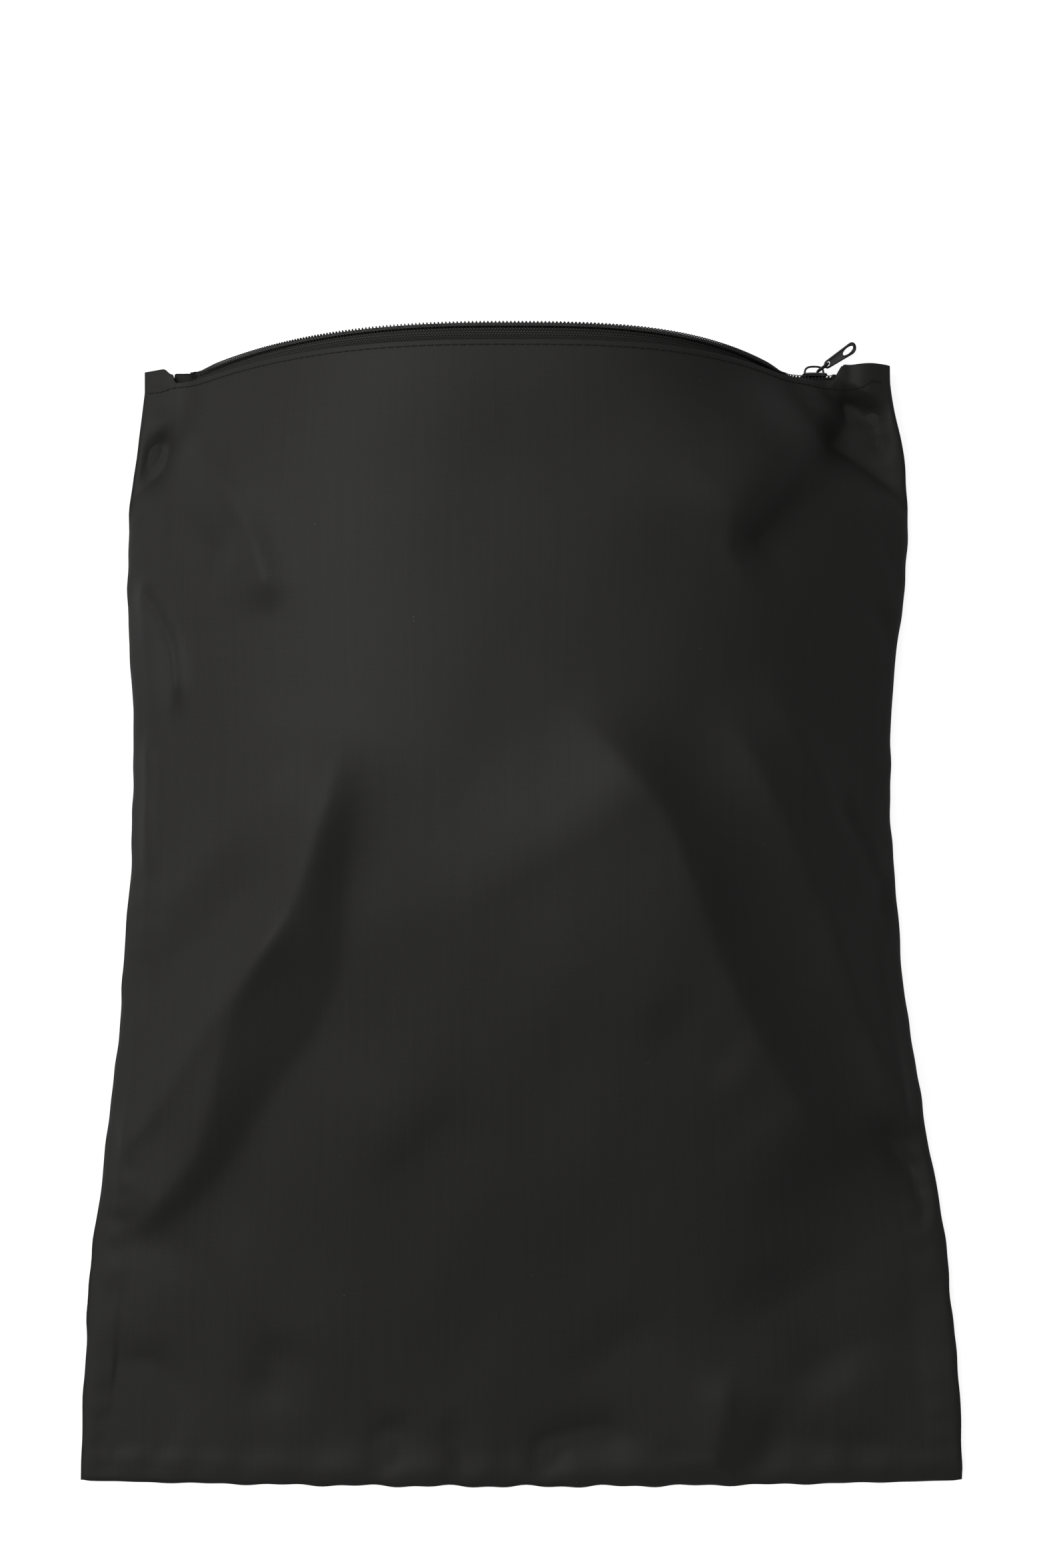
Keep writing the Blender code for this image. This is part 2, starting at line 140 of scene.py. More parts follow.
def surface(name, points, uv=None):
    """An open sheet through a grid of points (rows, columns, 3), with its cloth coordinates in metres."""
    rows, columns = points.shape[:2]
    faces = grid_faces(rows, columns)
    obj = new_piece(name, points, faces)
    if uv is not None:
        layer = obj.data.uv_layers.new(name="cloth")
        layer.data.foreach_set("uv", uv.reshape(-1, 2)[np.array(faces).ravel()].ravel())
    obj.data.shade_smooth()
    return obj


def arc_length(line):
    """The length along a line of points, from 0 at its first point."""
    return np.concatenate([[0.0], np.cumsum(np.linalg.norm(np.diff(line, axis=0), axis=1))])


def signed_power(values, power):
    """|v|^power with the sign of v: rounds a circle's sine and cosine into an oval or a lozenge."""
    return np.sign(values) * np.abs(values) ** power


def in_space(values, places, table):
    """Each coordinate of a table (points, 3) read between its places."""
    return np.stack([np.interp(values, places, table[:, axis]) for axis in range(3)], axis=-1)


def points_of(x, y, z):
    """Points from their coordinates, each an array or one number for all."""
    return np.stack(np.broadcast_arrays(x, y, z), axis=-1)


def full_turn(count):
    """Angles at even steps round a circle."""
    return np.linspace(0, 2 * math.pi, count + 1)[:-1]


def unit(vectors):
    return vectors / np.maximum(np.linalg.norm(vectors, axis=-1, keepdims=True), 1e-12)


def tubes(name, paths, radius, up, sides=8, wide=1.0, cyclic=False):
    """Tubes along paths (count, points, 3): a ring of sides points around each path point, wide times as
    broad across as it is tall, in the frame of the path's direction and the up vector."""
    paths = np.asarray(paths, float)
    count, points = paths.shape[:2]
    if cyclic:
        along = unit(np.roll(paths, -1, axis=1) - np.roll(paths, 1, axis=1))
    else:
        along = unit(np.gradient(paths, axis=1))
    across = unit(np.cross(np.broadcast_to(up, paths.shape), along))
    top = np.cross(along, across)
    turn = full_turn(sides)
    radius = np.broadcast_to(np.asarray(radius, float), paths.shape[:2])[..., None, None]
    ring = wide * np.cos(turn)[:, None] * across[:, :, None] + np.sin(turn)[:, None] * top[:, :, None]
    verts = paths[:, :, None] + radius * ring
    faces = []
    for index in range(count):
        start = index * points * sides
        if cyclic:
            faces += grid_faces(points, sides, wrap_rows=True, wrap_columns=True, start=start)
        else:
            faces += ring_faces(points, sides, start)
    obj = new_piece(name, verts, faces)
    obj.data.shade_smooth()
    return obj


def ring_faces(rings, sides, start=0):
    """Faces of a run of rings, closed by a flat cap at both ends."""
    last = start + (rings - 1) * sides
    faces = grid_faces(rings, sides, wrap_columns=True, start=start)
    return faces + [list(range(start, start + sides))[::-1], list(range(last, last + sides))]


def closed_rings(name, rings):
    """A closed piece through a run of rings of points."""
    obj = new_piece(name, np.stack(rings), ring_faces(len(rings), len(rings[0])))
    obj.data.shade_smooth()
    return obj


def thicken(obj, thickness, offset):
    """Gives a sheet its thickness: offset -1 keeps its face as the outer one, 0 as the middle."""
    modifier = obj.modifiers.new("cloth_thickness", "SOLIDIFY")
    modifier.thickness = thickness
    modifier.offset = offset
    modifier.use_even_offset = False
    return obj


def smooth(t):
    """Half a cosine wave from 0 to 1, flat at both ends."""
    return 0.5 - 0.5 * np.cos(math.pi * np.clip(t, 0.0, 1.0))


# ---- Shape of the cloth ----
def side_distance(stations, y):
    """Distance of a side seam from the middle: half-cosine stretches between its stations."""
    width = np.full(np.shape(y), stations[0][1])
    for (y0, w0), (y1, w1) in zip(stations, stations[1:]):
        width = np.where(y >= y0, w0 + (w1 - w0) * smooth((y - y0) / (y1 - y0)), width)
    return width


def seam_pucker(y, side):
    """Unevenness of a side seam in plan: four sines of 16 to 150 mm, out of step with each other."""
    phase = 1.3 if side < 0 else 0.4
    waves = 1.1 * np.sin(y * 43 + phase) + 0.8 * np.sin(y * 97 + 2 * phase)
    waves += 0.55 * np.sin(y * 191 + 5 * phase) + 0.35 * np.sin(y * 389 + phase) * np.sin(y * 31)
    return 0.00045 * waves * smooth((y - BOTTOM_Y) / 0.02)


def outline_x(s, y):
    """x at the share s of the way from the middle to the left or the right side seam."""
    left = side_distance(LEFT_SIDE, y) + seam_pucker(y, -1)
    right = side_distance(RIGHT_SIDE, y) + seam_pucker(y, 1)
    return np.where(s < 0, s * left, s * right)


def hem_line(x):
    """y of the folded mouth edge: straight, then up to the ears, beside the end tab on the left and in one
    sweep from the slider's rest on the right."""
    left_rise = 0.6 * smooth((-x - 0.1374) / 0.0016) + 0.4 * smooth((-x - EAR_START) / (EAR_FULL - EAR_START))
    right_rise = smooth((x - 0.1264) / 0.0068)
    right_ear = RIGHT_EAR_Y - 0.0010 + 0.0010 * smooth((x - 0.1335) / 0.016)
    line = FOLD_Y + (LEFT_EAR_Y + 0.0002 - FOLD_Y) * left_rise
    return line + (right_ear - line) * right_rise


def stitch_line(x):
    """y of the topstitch: a steady distance behind the fold, a little lower at the left ear, and up by
    3 mm at the right ear."""
    ears = 0.0030 * smooth((x - 0.1385) / 0.006) - 0.0010 * smooth((-x - 0.138) / 0.006)
    return FOLD_Y - STITCH_INSET + ears


def bottom_line(x):
    """y of the bottom seam: a shallow sag with small puckers."""
    pucker = 0.0004 * np.sin(x * 190 + 0.7) + 0.0003 * np.sin(x * 410)
    sag = BOTTOM_SAG * (1 - (x / 0.18) ** 2)
    return BOTTOM_Y + 0.0012 - sag + pucker * (1 - (x / 0.18) ** 2)


def dome(x, y):
    """Height of the raised cloth: a crown that ramps up from the bottom seam to the heels, with sections
    that fall off as 1 - |u|^n, whose feet draw in from the side seams to the mouth's arch. The sections
    level out softly at their feet, as the logarithm of 1 + e^t does."""
    ramp = np.sin(0.5 * math.pi * np.clip((y - BOTTOM_Y) / (HEEL_Y - BOTTOM_Y), 0, 1)) ** 1.8
    mouth = smooth((y - MOUTH_START_Y) / (HEM_Y - MOUTH_START_Y))
    crown = CROWN * ramp * (1 - mouth) + MOUTH_CROWN * mouth
    left = -side_distance(LEFT_SIDE, y) * (1 - mouth) + MOUTH_FEET[0] * mouth
    right = side_distance(RIGHT_SIDE, y) * (1 - mouth) + MOUTH_FEET[1] * mouth
    u = np.where(x > CREST_X, (x - CREST_X) / (right - CREST_X), (CREST_X - x) / (CREST_X - left))
    end_power = np.where(x > CREST_X, MOUTH_POWERS[1], MOUTH_POWERS[0])
    power = SECTION_POWER * (1 - mouth) + end_power * mouth
    lift = (HEM_Z - RIM_Z - EAR_Z) * mouth * smooth((0.1530 - np.abs(x)) / 0.0170)
    soft = 0.004 + 0.060 * mouth
    section = soft * np.logaddexp(0, (1 - np.minimum(u, 3) ** power) / soft)
    return RIM_Z + EAR_Z * mouth + lift + crown * section


def crease(x, y, path, height, west, east, sharp, fade):
    """A ridge (height above 0) or a valley (below 0) along a path in plan. Its section falls off as
    exp(-(d / width)^sharp) with its own width on each side, and its height fades over its two ends. Where
    two stretches of the path are equally near, their shares are averaged by 1 / distance^10."""
    lengths = arc_length(path)
    places = np.linspace(0, lengths[-1], 7 * len(path))
    fine = np.stack([np.interp(places, lengths, path[:, axis]) for axis in range(2)], axis=-1)
    kernel = np.array([0.25, 0.5, 0.25])
    for _ in range(6):
        for axis in range(2):
            fine[1:-1, axis] = np.convolve(fine[:, axis], kernel, "valid")
    nearest = np.full(x.shape, 1e9)
    weights = np.zeros(x.shape)
    share = np.zeros(x.shape)
    facing = np.zeros(x.shape)
    for index, (a, b) in enumerate(zip(fine[:-1], fine[1:])):
        step = b - a
        t = np.clip(((x - a[0]) * step[0] + (y - a[1]) * step[1]) / (step @ step), 0, 1)
        dx = x - a[0] - t * step[0]
        dy = y - a[1] - t * step[1]
        square = dx * dx + dy * dy + 1e-9
        nearest = np.minimum(nearest, square)
        weight = (1e-4 / square) ** 5
        side = 1 if -step[1] > 0 else -1
        across = side * (dy * step[0] - dx * step[1]) / (np.hypot(*step) * np.sqrt(square))
        weights += weight
        share += weight * (index + t) / (len(fine) - 1)
        facing += weight * across
    share /= weights
    facing = np.clip(facing / weights, -1, 1)
    width = 0.5 * (east + west) + 0.5 * (east - west) * facing
    rounded = np.sqrt(nearest + 0.0012 ** 2) - 0.0012
    ends = smooth(share / fade[0]) * smooth((1 - share) / fade[1])
    return height * ends * np.exp(-(rounded / width) ** sharp)


# Folds of the front panel, in millimetres: path in plan, height, width to the west, width to the east,
# then the sharpness of the section and the shares of the path over which it fades in and out
FOLDS = (
    # from the left heel down to the left seam
    (((-66, 92), (-68, 58), (-75, 35), (-83, 14), (-92.5, -2), (-105, -20), (-112.5, -36),
      (-119.6, -63.6), (-127, -88), (-140, -105.5), (-160, -127)), 12.5, 24, 18, 1.25, (0.22, 0.1)),
    (((-54, 78), (-59, 42), (-62, 16.6), (-64, -10), (-75, -37), (-95, -64), (-111, -91), (-125, -108),
      (-146, -126.5), (-160, -132)), -7, 14, 32, 1.35, (0.25, 0.1)),
    (((-83, 14), (-94, -1), (-108, -20), (-123, -40), (-144, -72), (-164, -93)), 5, 10, 6, 1.2,
     (0.2, 0.1)),
    (((-76, 84), (-100, 50), (-128, 20), (-157, -6)), 4, 14, 10, 1.3, (0.3, 0.2)),
    (((-86, 38), (-115, 6), (-139, -14), (-160, -34)), -3.6, 9, 12, 1.4, (0.3, 0.2)),
    # from the right heel down to the right seam
    (((14, 90), (36, 70), (54, 48), (67, 17), (74.5, -4), (84, -25), (98, -50), (115.3, -75.1),
      (139, -100)), 15, 58, 14, 1.3, (0.22, 0.2)),
    (((72, 96), (88, 70), (101, 47), (115, 21), (125, -2), (134, -28), (147, -54), (166, -86)), 8.5, 16,
     12, 1.25, (0.25, 0.12)),
    (((90, 106), (106, 80), (120.5, 55), (136, 31), (150, 12)), 5.2, 12, 8, 1.25, (0.3, 0.1)),
    (((120, 62), (132, 43), (144.1, 21.5), (156, 4)), -4.8, 6, 4, 1.3, (0.3, 0.05)),
    (((136, -70), (155, -91), (173, -114)), -5.2, 7, 6, 1.3, (0.35, 0.05)),
    # from the ears into the body
    (((129, 216), (118, 200), (100, 178), (84, 157), (74, 142)), 12.5, 30, 11, 1.3, (0.12, 0.25)),
    (((140, 218), (134, 204.5), (116, 179), (98.5, 159), (82, 141)), -14.5, 9.5, 13, 1.15, (0.08, 0.16)),
    (((-150, 198.5), (-136, 175.5), (-122.5, 153), (-106, 141)), -8.2, 10, 11, 1.35, (0.12, 0.2)),
    (((-136, 205), (-115, 174), (-102, 154), (-94.5, 135), (-93, 120)), 7.4, 13, 9, 1.25, (0.22, 0.18)),
    (((135, 230), (134.7, 219), (134, 208)), -2.2, 2.2, 2.6, 1.3, (0.05, 0.3)),
    # pleats beside the ears, pulled in by the side seams
    (((-158, 198.5), (-147, 197.2), (-137, 201)), -3, 3, 3, 1.4, (0.02, 0.35)),
    (((138, 206.5), (147, 209.2), (160, 210.5)), -2.4, 2.4, 2.4, 1.4, (0.3, 0.02)),
    (((140, 202.5), (148, 198.5), (161, 197.2)), -1.8, 3.4, 3.4, 1.4, (0.45, 0.02)),
    (((143, 134), (149, 124), (158, 112)), -2.8, 4, 3, 1.4, (0.35, 0.05)),
    (((146, 160), (152, 148), (158, 143)), -2, 3, 3, 1.4, (0.35, 0.05)),
    # puckers along the left seam
    (((-157, 144), (-144.5, 127.5), (-135.5, 112.5), (-133.5, 96), (-140, 80)), 7.8, 11, 4.5, 1.2,
     (0.2, 0.28)),
    (((-148, 84), (-147.5, 55), (-150, 18)), 5.2, 7, 6, 1.3, (0.25, 0.3)),
    (((-160, 4), (-148, 6), (-133, 5)), -2, 2, 2, 1.5, (0.05, 0.4)),
    # slack cloth near the bottom seam
    (((-46, -194), (-52, -212), (-58, -230)), -3.4, 8, 6, 1.4, (0.4, 0.02)),
    (((-30, -196), (-24, -212), (-20, -230)), -2.4, 6, 6, 1.4, (0.4, 0.02)),
    (((60, -209), (30, -206), (14, -211), (6, -228)), -3.6, 7, 8, 1.4, (0.4, 0.02)),
    (((86, -174), (83, -196), (79, -222)), 4, 10, 6, 1.4, (0.4, 0.1)),
    (((100, -188), (106, -204), (100, -228)), -3, 10, 16, 1.5, (0.4, 0.05)),
    (((62, -149), (34, -174), (12, -192)), -2.6, 12, 12, 1.6, (0.4, 0.4)),
    (((-92, -160), (-98, -180), (-106, -202)), -3, 10, 14, 1.6, (0.4, 0.4)),
    (((-148, -165), (-153, -188), (-157, -214)), -3, 10, 12, 1.6, (0.4, 0.15)),
    (((-12, -58), (-36, -86), (-62, -111)), -2.6, 10, 24, 1.6, (0.4, 0.4)),
    (((46, -24), (66, -40), (90, -52)), -3, 10, 20, 1.6, (0.4, 0.3)),
    (((100, -125), (118, -155), (134, -190)), -5.5, 24, 36, 1.6, (0.4, 0.25)),
    (((90, -206), (120, -209), (160, -212)), -2.2, 8, 8, 1.5, (0.3, 0.2)),
)


def slack_noise(x, y):
    """Soft unevenness of loose cloth: a few plane sine waves of 35 to 110 mm in fixed directions."""
    height = np.zeros(np.shape(x))
    for angle, length, size, phase in ((20, 0.110, 0.00060, 0.3), (75, 0.085, 0.00045, 1.9),
                                       (130, 0.060, 0.00035, 4.1), (48, 0.043, 0.00022, 2.2),
                                       (160, 0.035, 0.00016, 5.0)):
        turn = math.radians(angle)
        along = x * math.cos(turn) + y * math.sin(turn)
        height += size * np.sin(2 * math.pi * along / length + phase)
    return height


def cloth_height(x, y, s):
    """Height of the front panel's line: the dome, its folds, the ridge over the seam allowance and the
    waves that the side seams gather."""
    base = dome(x, y)
    folds = np.zeros(x.shape)
    for path, height, west, east, sharp, fade in FOLDS:
        folds += crease(x, y, MM * np.array(path), MM * height, MM * west, MM * east, sharp, fade)
    from_side = (1 - np.abs(s)) * 0.165
    from_bottom = y - bottom_line(x)
    edge = np.minimum(from_side, from_bottom)
    hold = smooth(edge / 0.010)
    left_low = smooth((-x - 0.10) / 0.03) * smooth((-y - 0.14) / 0.04)
    fall = 0.0090 - 0.0065 * left_low
    allowance = 0.0010 * smooth(edge / 0.0012) * (1 - smooth((edge - SEAM_WIDTH + fall / 2) / fall))
    gathers = 0.0006 * np.sin(y * 420 + 3 * np.sin(y * 60)) * np.exp(-((from_side - 0.007) / 0.007) ** 2)
    gathers *= 0.4 + 0.6 * np.sin(y * 23 + 1.0) ** 2
    bottom_gathers = 0.0007 * np.sin(x * 260 + 2 * np.sin(x * 45)) * np.exp(-(from_bottom / 0.016) ** 2)
    bottom_roll = 0.0022 * smooth(from_bottom / 0.0070) * smooth((x + 0.16) / 0.1)
    low_right = 0.0040 * smooth(from_bottom / 0.030) * smooth((x - 0.02) / 0.1) * smooth((-0.10 - y) / 0.08)
    bottom_roll = bottom_roll + low_right * smooth(from_side / 0.045)
    loose = slack_noise(x, y) * smooth(edge / 0.02) * smooth((HEM_Y - y) / 0.025)
    loose = loose * (1 - 0.5 * smooth((y - 0.05) / 0.05))
    # the seam itself stays down; a fold that reaches it is drawn flat
    return base + (folds + gathers + bottom_gathers) * hold + allowance + loose + bottom_roll


def front_height(x, y):
    """Outer face of the front panel: the cloth's height, never under the seams, plus the cloth itself."""
    s = np.where(x < 0, x / side_distance(LEFT_SIDE, y), x / side_distance(RIGHT_SIDE, y))
    raised = cloth_height(x, y, s)
    floor = RIM_Z + 0.0004 * smooth((1 - np.abs(s)) * 60)
    return np.maximum(raised, floor) + FACE_LIFT * smooth((1 - np.abs(s)) * 40)


def front_normal(x, y):
    """Direction out of the front panel, from the slopes of its height over a step each way."""
    step = 3e-4
    slope_x = (front_height(x + step, y) - front_height(x - step, y)) / (2 * step)
    slope_y = (front_height(x, y + step) - front_height(x, y - step)) / (2 * step)
    return unit(points_of(-slope_x, -slope_y, 1))


def mouth_shares():
    """Shares of the half width for the cloth's columns: even, with more around the steps of the ears."""
    steps = np.concatenate([np.linspace(0.127, 0.146, 24), [0.1505]]) / 0.1528
    return np.unique(np.round(np.concatenate([np.linspace(-1, 1, 181), steps, -steps]), 5))


def make_front_panel():
    """The front panel: rows from the bottom seam to the folded mouth edge, then round the fold and back
    under it as the hem's turned layer."""
    s = mouth_shares()[None, :]
    t = np.concatenate([np.linspace(0, 0.965, 182), np.linspace(0.968, 1, 15)])[:, None]
    x_top = outline_x(s, np.full(s.shape, 0.2215))
    x_bottom = outline_x(s, np.full(s.shape, BOTTOM_Y))
    low = bottom_line(x_bottom)
    top = hem_line(x_top)
    y = low + t * (top - low)
    x = outline_x(np.repeat(s, len(t), axis=0), y)
    z = front_height(x, np.minimum(y, LEVEL_Y))
    # stitching draws the hem in with a shallow groove and a dimple at each stitch
    inset = y - stitch_line(x)
    groove = np.exp(-(inset / 0.0008) ** 2) * (0.00024 + 0.00010 * np.cos(2 * math.pi * x / STITCH_PITCH))
    z = z - groove
    rows = [points_of(x, y, z)]
    edge = rows[0][-1]
    normal = front_normal(x[-1], np.minimum(y[-1], LEVEL_Y) - 0.001)
    forward = np.array([0.0, 1.0, 0.0])
    for turn in np.linspace(0, math.pi, 6)[1:]:
        rows.append((edge + HEM_ROLL * (math.sin(turn) * forward - (1 - math.cos(turn)) * normal))[None])
    for back in np.linspace(0, HEM_TURN, 7)[1:]:
        line_y = y[-1] - back
        under = points_of(x[-1], line_y, front_height(x[-1], np.minimum(line_y, LEVEL_Y)))
        rows.append((under - 2 * HEM_ROLL * front_normal(x[-1], line_y))[None])
    points = np.concatenate(rows)
    v = np.concatenate([t[:, 0] * CUT_LENGTH, CUT_LENGTH + np.linspace(0, HEM_TURN, 12)[1:]])
    uv = np.stack(np.broadcast_arrays(s * CUT_WIDTH / 2, v[: len(points), None]), axis=-1)
    obj = surface("front_panel_cloth", points, uv)
    return thicken(obj, CLOTH, -1.0)


def hem_cloth(x, y):
    """Outer face of the front panel near the mouth: level past the fold line, so the ears lie flat."""
    return front_height(x, np.minimum(y, LEVEL_Y))


def make_back_panel():
    """The back panel: flat on the floor, its edge curled up to the seam, with a hem turned inwards."""
    s = mouth_shares()[None, ::3]
    t = np.linspace(0, 1, 120)[:, None]
    low = bottom_line(outline_x(s, np.full(s.shape, BOTTOM_Y)))
    top = hem_line(outline_x(s, np.full(s.shape, 0.2215)))
    y = low + t * (top - low)
    x = outline_x(np.repeat(s, len(t), axis=0), y)
    edge = np.minimum((1 - np.abs(s)) * 0.165, y - low)
    curl = 0.0005 * np.exp(-(edge / 0.0025) ** 2)
    waves = 0.00012 * np.sin(x * 140 + y * 60) + 0.0001 * np.sin(y * 170 - x * 40)
    ears = EAR_Z * smooth((y - MOUTH_START_Y) / (HEM_Y - MOUTH_START_Y)) * smooth((np.abs(x) - 0.137) / 0.015)
    z = curl + (0.0002 + waves) * smooth(edge / 0.01) + ears
    rows = [points_of(x, y, z)]
    edge_row = rows[0][-1]
    for turn in np.linspace(0, math.pi, 6)[1:]:
        bend = np.array([0.0, HEM_ROLL * math.sin(turn), HEM_ROLL * (1 - math.cos(turn))])
        rows.append((edge_row + bend)[None])
    for back in np.linspace(0, HEM_TURN, 5)[1:]:
        rows.append((edge_row + np.array([0.0, -back, 2 * HEM_ROLL]))[None])
    points = np.concatenate(rows)
    v = np.concatenate([t[:, 0] * CUT_LENGTH, CUT_LENGTH + np.linspace(0, HEM_TURN, 10)[1:]])
    uv = np.stack(np.broadcast_arrays(s * CUT_WIDTH / 2, v[:, None]), axis=-1)
    obj = surface("back_panel_cloth", points[:, ::-1], uv[:, ::-1])
    return thicken(obj, CLOTH, -1.0)


def seam_strip(name, points):
    """One seam allowance: two cut edges as a strip, its cloth coordinates taken from x and y."""
    return thicken(surface(name, points, points[:, :, :2]), SEAM_CLOTH, 0.0)


def overlock_steps(loops):
    """Reach inwards from the cut edge and height of the overlock thread at each of its points: from the
    edge, over the strip to the seam and back, in four steps."""
    phase = np.arange(len(loops)) % 4
    return np.array([-0.0002, 0.0024, 0.0050, 0.0024])[phase], SEAM_Z + 0.0005 * (phase > 0)


def make_side_seams():
    """Seam allowances along both sides: a strip of two cut edges with a wavy inner edge, and the
    overlock thread that zigzags over it with one loop every 3 mm."""
    pieces = []
    y = np.linspace(BOTTOM_Y + 0.0125, 0.2225, 220)
    across = np.linspace(0, 1, 7)[:, None]
    for side, word in ((-1, "left"), (1, "right")):
        outer = np.abs(outline_x(np.float64(side), y)) - 0.0010
        wave = 0.0003 * np.sin(y * 260 + side) + 0.0002 * np.sin(y * 611)
        x = side * (outer - across * (SEAM_WIDTH - 0.0008 + wave))
        z = SEAM_Z + 0.0001 * np.sin(y * 330 + 9 * across)
        points = points_of(x, y, z)
        strip = seam_strip(f"{word}_side_seam_cloth", points[::-side])
        loops = np.arange(y[0] + 0.002, y[-1] - 0.002, OVERLOCK_STEP)
        reach = np.interp(loops, y, outer - SEAM_WIDTH + 0.0008 - wave)
        inward, height = overlock_steps(loops)
        line = points_of(side * (reach + inward), loops, height)
        thread = tubes(f"{word}_seam_overlock", [line], FINE_THREAD, (0, 0, 1), sides=5)
        pieces.append((word + "_side_seam", strip, thread))
    return pieces


def make_bottom_seam():
    """Seam allowance along the bottom, as the side ones, between the two corners."""
    s = np.linspace(-0.994, 0.994, 200)
    x = outline_x(s, np.full(s.shape, BOTTOM_Y + 0.002))
    wave = 0.0003 * np.sin(x * 240) + 0.0002 * np.sin(x * 563)
    across = np.linspace(0, 1, 7)[:, None]
    y = bottom_line(s * 0.18) + 0.0010 + across * (SEAM_WIDTH - 0.0010 + wave)
    x = x * (1 - 0.002 * across)
    z = SEAM_Z + 0.0001 * np.sin(x * 310 + 7 * across)
    strip = seam_strip("bottom_seam_cloth", points_of(x, y, z))
    loops = np.arange(x[0].min() + 0.003, x[0].max() - 0.003, OVERLOCK_STEP)
    inward, height = overlock_steps(loops)
    line = points_of(loops, np.interp(loops, x[0], y[-1]) - inward, height)
    return strip, tubes("bottom_seam_overlock", [line], FINE_THREAD, (0, 0, 1), sides=5)


def front_coil_frame(x):
    """Line of the front coil over x, with its direction, the direction of its tape, and the outward
    direction. The tape comes level over the arch, and from above at both ends, inside the slider."""
    hem = dome(x, np.full(x.shape, HEM_Y))
    risen = smooth((hem - HEM_Z) / 0.020)
    z = hem - 0.0036 + 0.0030 * risen
    line = points_of(x, CHAIN_Y + LEAN * (z - CHAIN_Z), z)
    along = np.gradient(line, axis=0)
    along[:, 2] *= smooth(4 * risen)
    along = unit(along)
    angle = 0.5 * math.pi * (1 - risen)
    away = points_of(0, -np.cos(angle), np.sin(angle))
    away = unit(away - np.sum(away * along, axis=-1, keepdims=True) * along)
    outward = np.cross(away, along)
    outward *= np.sign(outward[:, 1:2] + outward[:, 2:3])
    return line, along, away, outward


def back_coil_frame(x):
    """Line of the back coil, straight and low, whose tape comes up from below it."""
    line = points_of(x, CHAIN_Y, CHAIN_Z - COIL_SPREAD)
    along = np.broadcast_to(np.array([1.0, 0, 0]), line.shape)
    away = np.broadcast_to(np.array([0, 0, -1.0]), line.shape)
    outward = np.broadcast_to(np.array([0, 1.0, 0]), line.shape)
    return line, along, away, outward


def coil_places(frame_of, step):
    """Values of x along a coil at even steps of its length, and that length at each."""
    dense = np.linspace(-COIL_END, COIL_END, 2000)
    line = frame_of(dense)[0]
    length = arc_length(line)
    even = np.linspace(0, length[-1], int(length[-1] / step) + 1)
    return np.interp(even, length, dense), even


def make_coil(name, frame_of):
    """A nylon coil: a helix flattened to 1.9 by 1.6 mm, one turn every 1.4 mm, wound round a soft cord,
    with two rows of sewing thread that dip between the turns."""
    x, length = coil_places(frame_of, COIL_PITCH / 10)
    line, _, away, outward = frame_of(x)
    turn = (2 * math.pi * length / COIL_PITCH)[:, None]
    head = 1 + 0.10 * np.cos(turn) ** 8
    helix = line - COIL_HALF * head * np.cos(turn) * away + COIL_TALL * np.sin(turn) * outward
    wire = tubes(name + "_wire", [helix], COIL_WIRE, (0, 0.7, 0.7), sides=5)
    line, _, _, outward = frame_of(coil_places(frame_of, 0.0012)[0])
    core = tubes(name + "_core", [line], 0.00046, outward[None], sides=8, wide=1.3)
    x, length = coil_places(frame_of, COIL_PITCH / 4)
    line, _, away, outward = frame_of(x)
    dip = 0.00010 * np.cos(2 * math.pi * length / COIL_PITCH)[:, None]
    rows = [line + offset * away + (COIL_TALL + COIL_WIRE + dip) * outward for offset in (0.00020, 0.00062)]
    threads = tubes(name + "_sewing", rows, FINE_THREAD, outward[None], sides=5)
    return wire, core, threads


def tape_bend(x):
    """The front tape's quadratic bend over x: its start at the hem's edge, its middle control point, its
    end on the coil's far side, and the outward direction there."""
    y = hem_line(x) + 0.0002
    start = points_of(x, y, hem_cloth(x, y))
    start = start - TAPE_BELOW * front_normal(x, np.minimum(y, HEM_Y))
    along_zip = np.linspace(-TAPE_END, TAPE_END, 261)
    coil, _, away, outward = (in_space(x, along_zip, part) for part in front_coil_frame(along_zip))
    end = coil + 0.0003 * away - 0.00075 * outward
    bend = end + 0.6 * np.linalg.norm(start - end, axis=-1, keepdims=True) * away
    return start, bend, end, outward


def make_front_tape():
    """The front tape: sewn edge under the hem, then a quadratic bend out to the coil's far side."""
    x = np.linspace(-TAPE_END, TAPE_END, 261)
    hem = hem_line(x)
    rows = []
    for y in (hem - TAPE_HIDDEN, hem - TAPE_HIDDEN / 2):
        base = points_of(x, y, hem_cloth(x, y))
        rows.append(base - TAPE_BELOW * front_normal(x, np.minimum(y, HEM_Y)))
    start, bend, end, _ = tape_bend(x)
    for t in np.linspace(0, 1, 11):
        rows.append((1 - t) ** 2 * start + 2 * t * (1 - t) * bend + t ** 2 * end)
    points = np.stack(rows)
    steps = np.linalg.norm(np.diff(points, axis=0), axis=-1).mean(axis=1)
    across = np.concatenate([[0], np.cumsum(steps)])
    arc = arc_length(points[2])
    uv = np.stack(np.meshgrid(arc, across), axis=-1)
    obj = surface("front_zipper_tape_cloth", points, uv)
    return thicken(obj, TAPE_THICK, 0.0), arc[-1], across[-1]


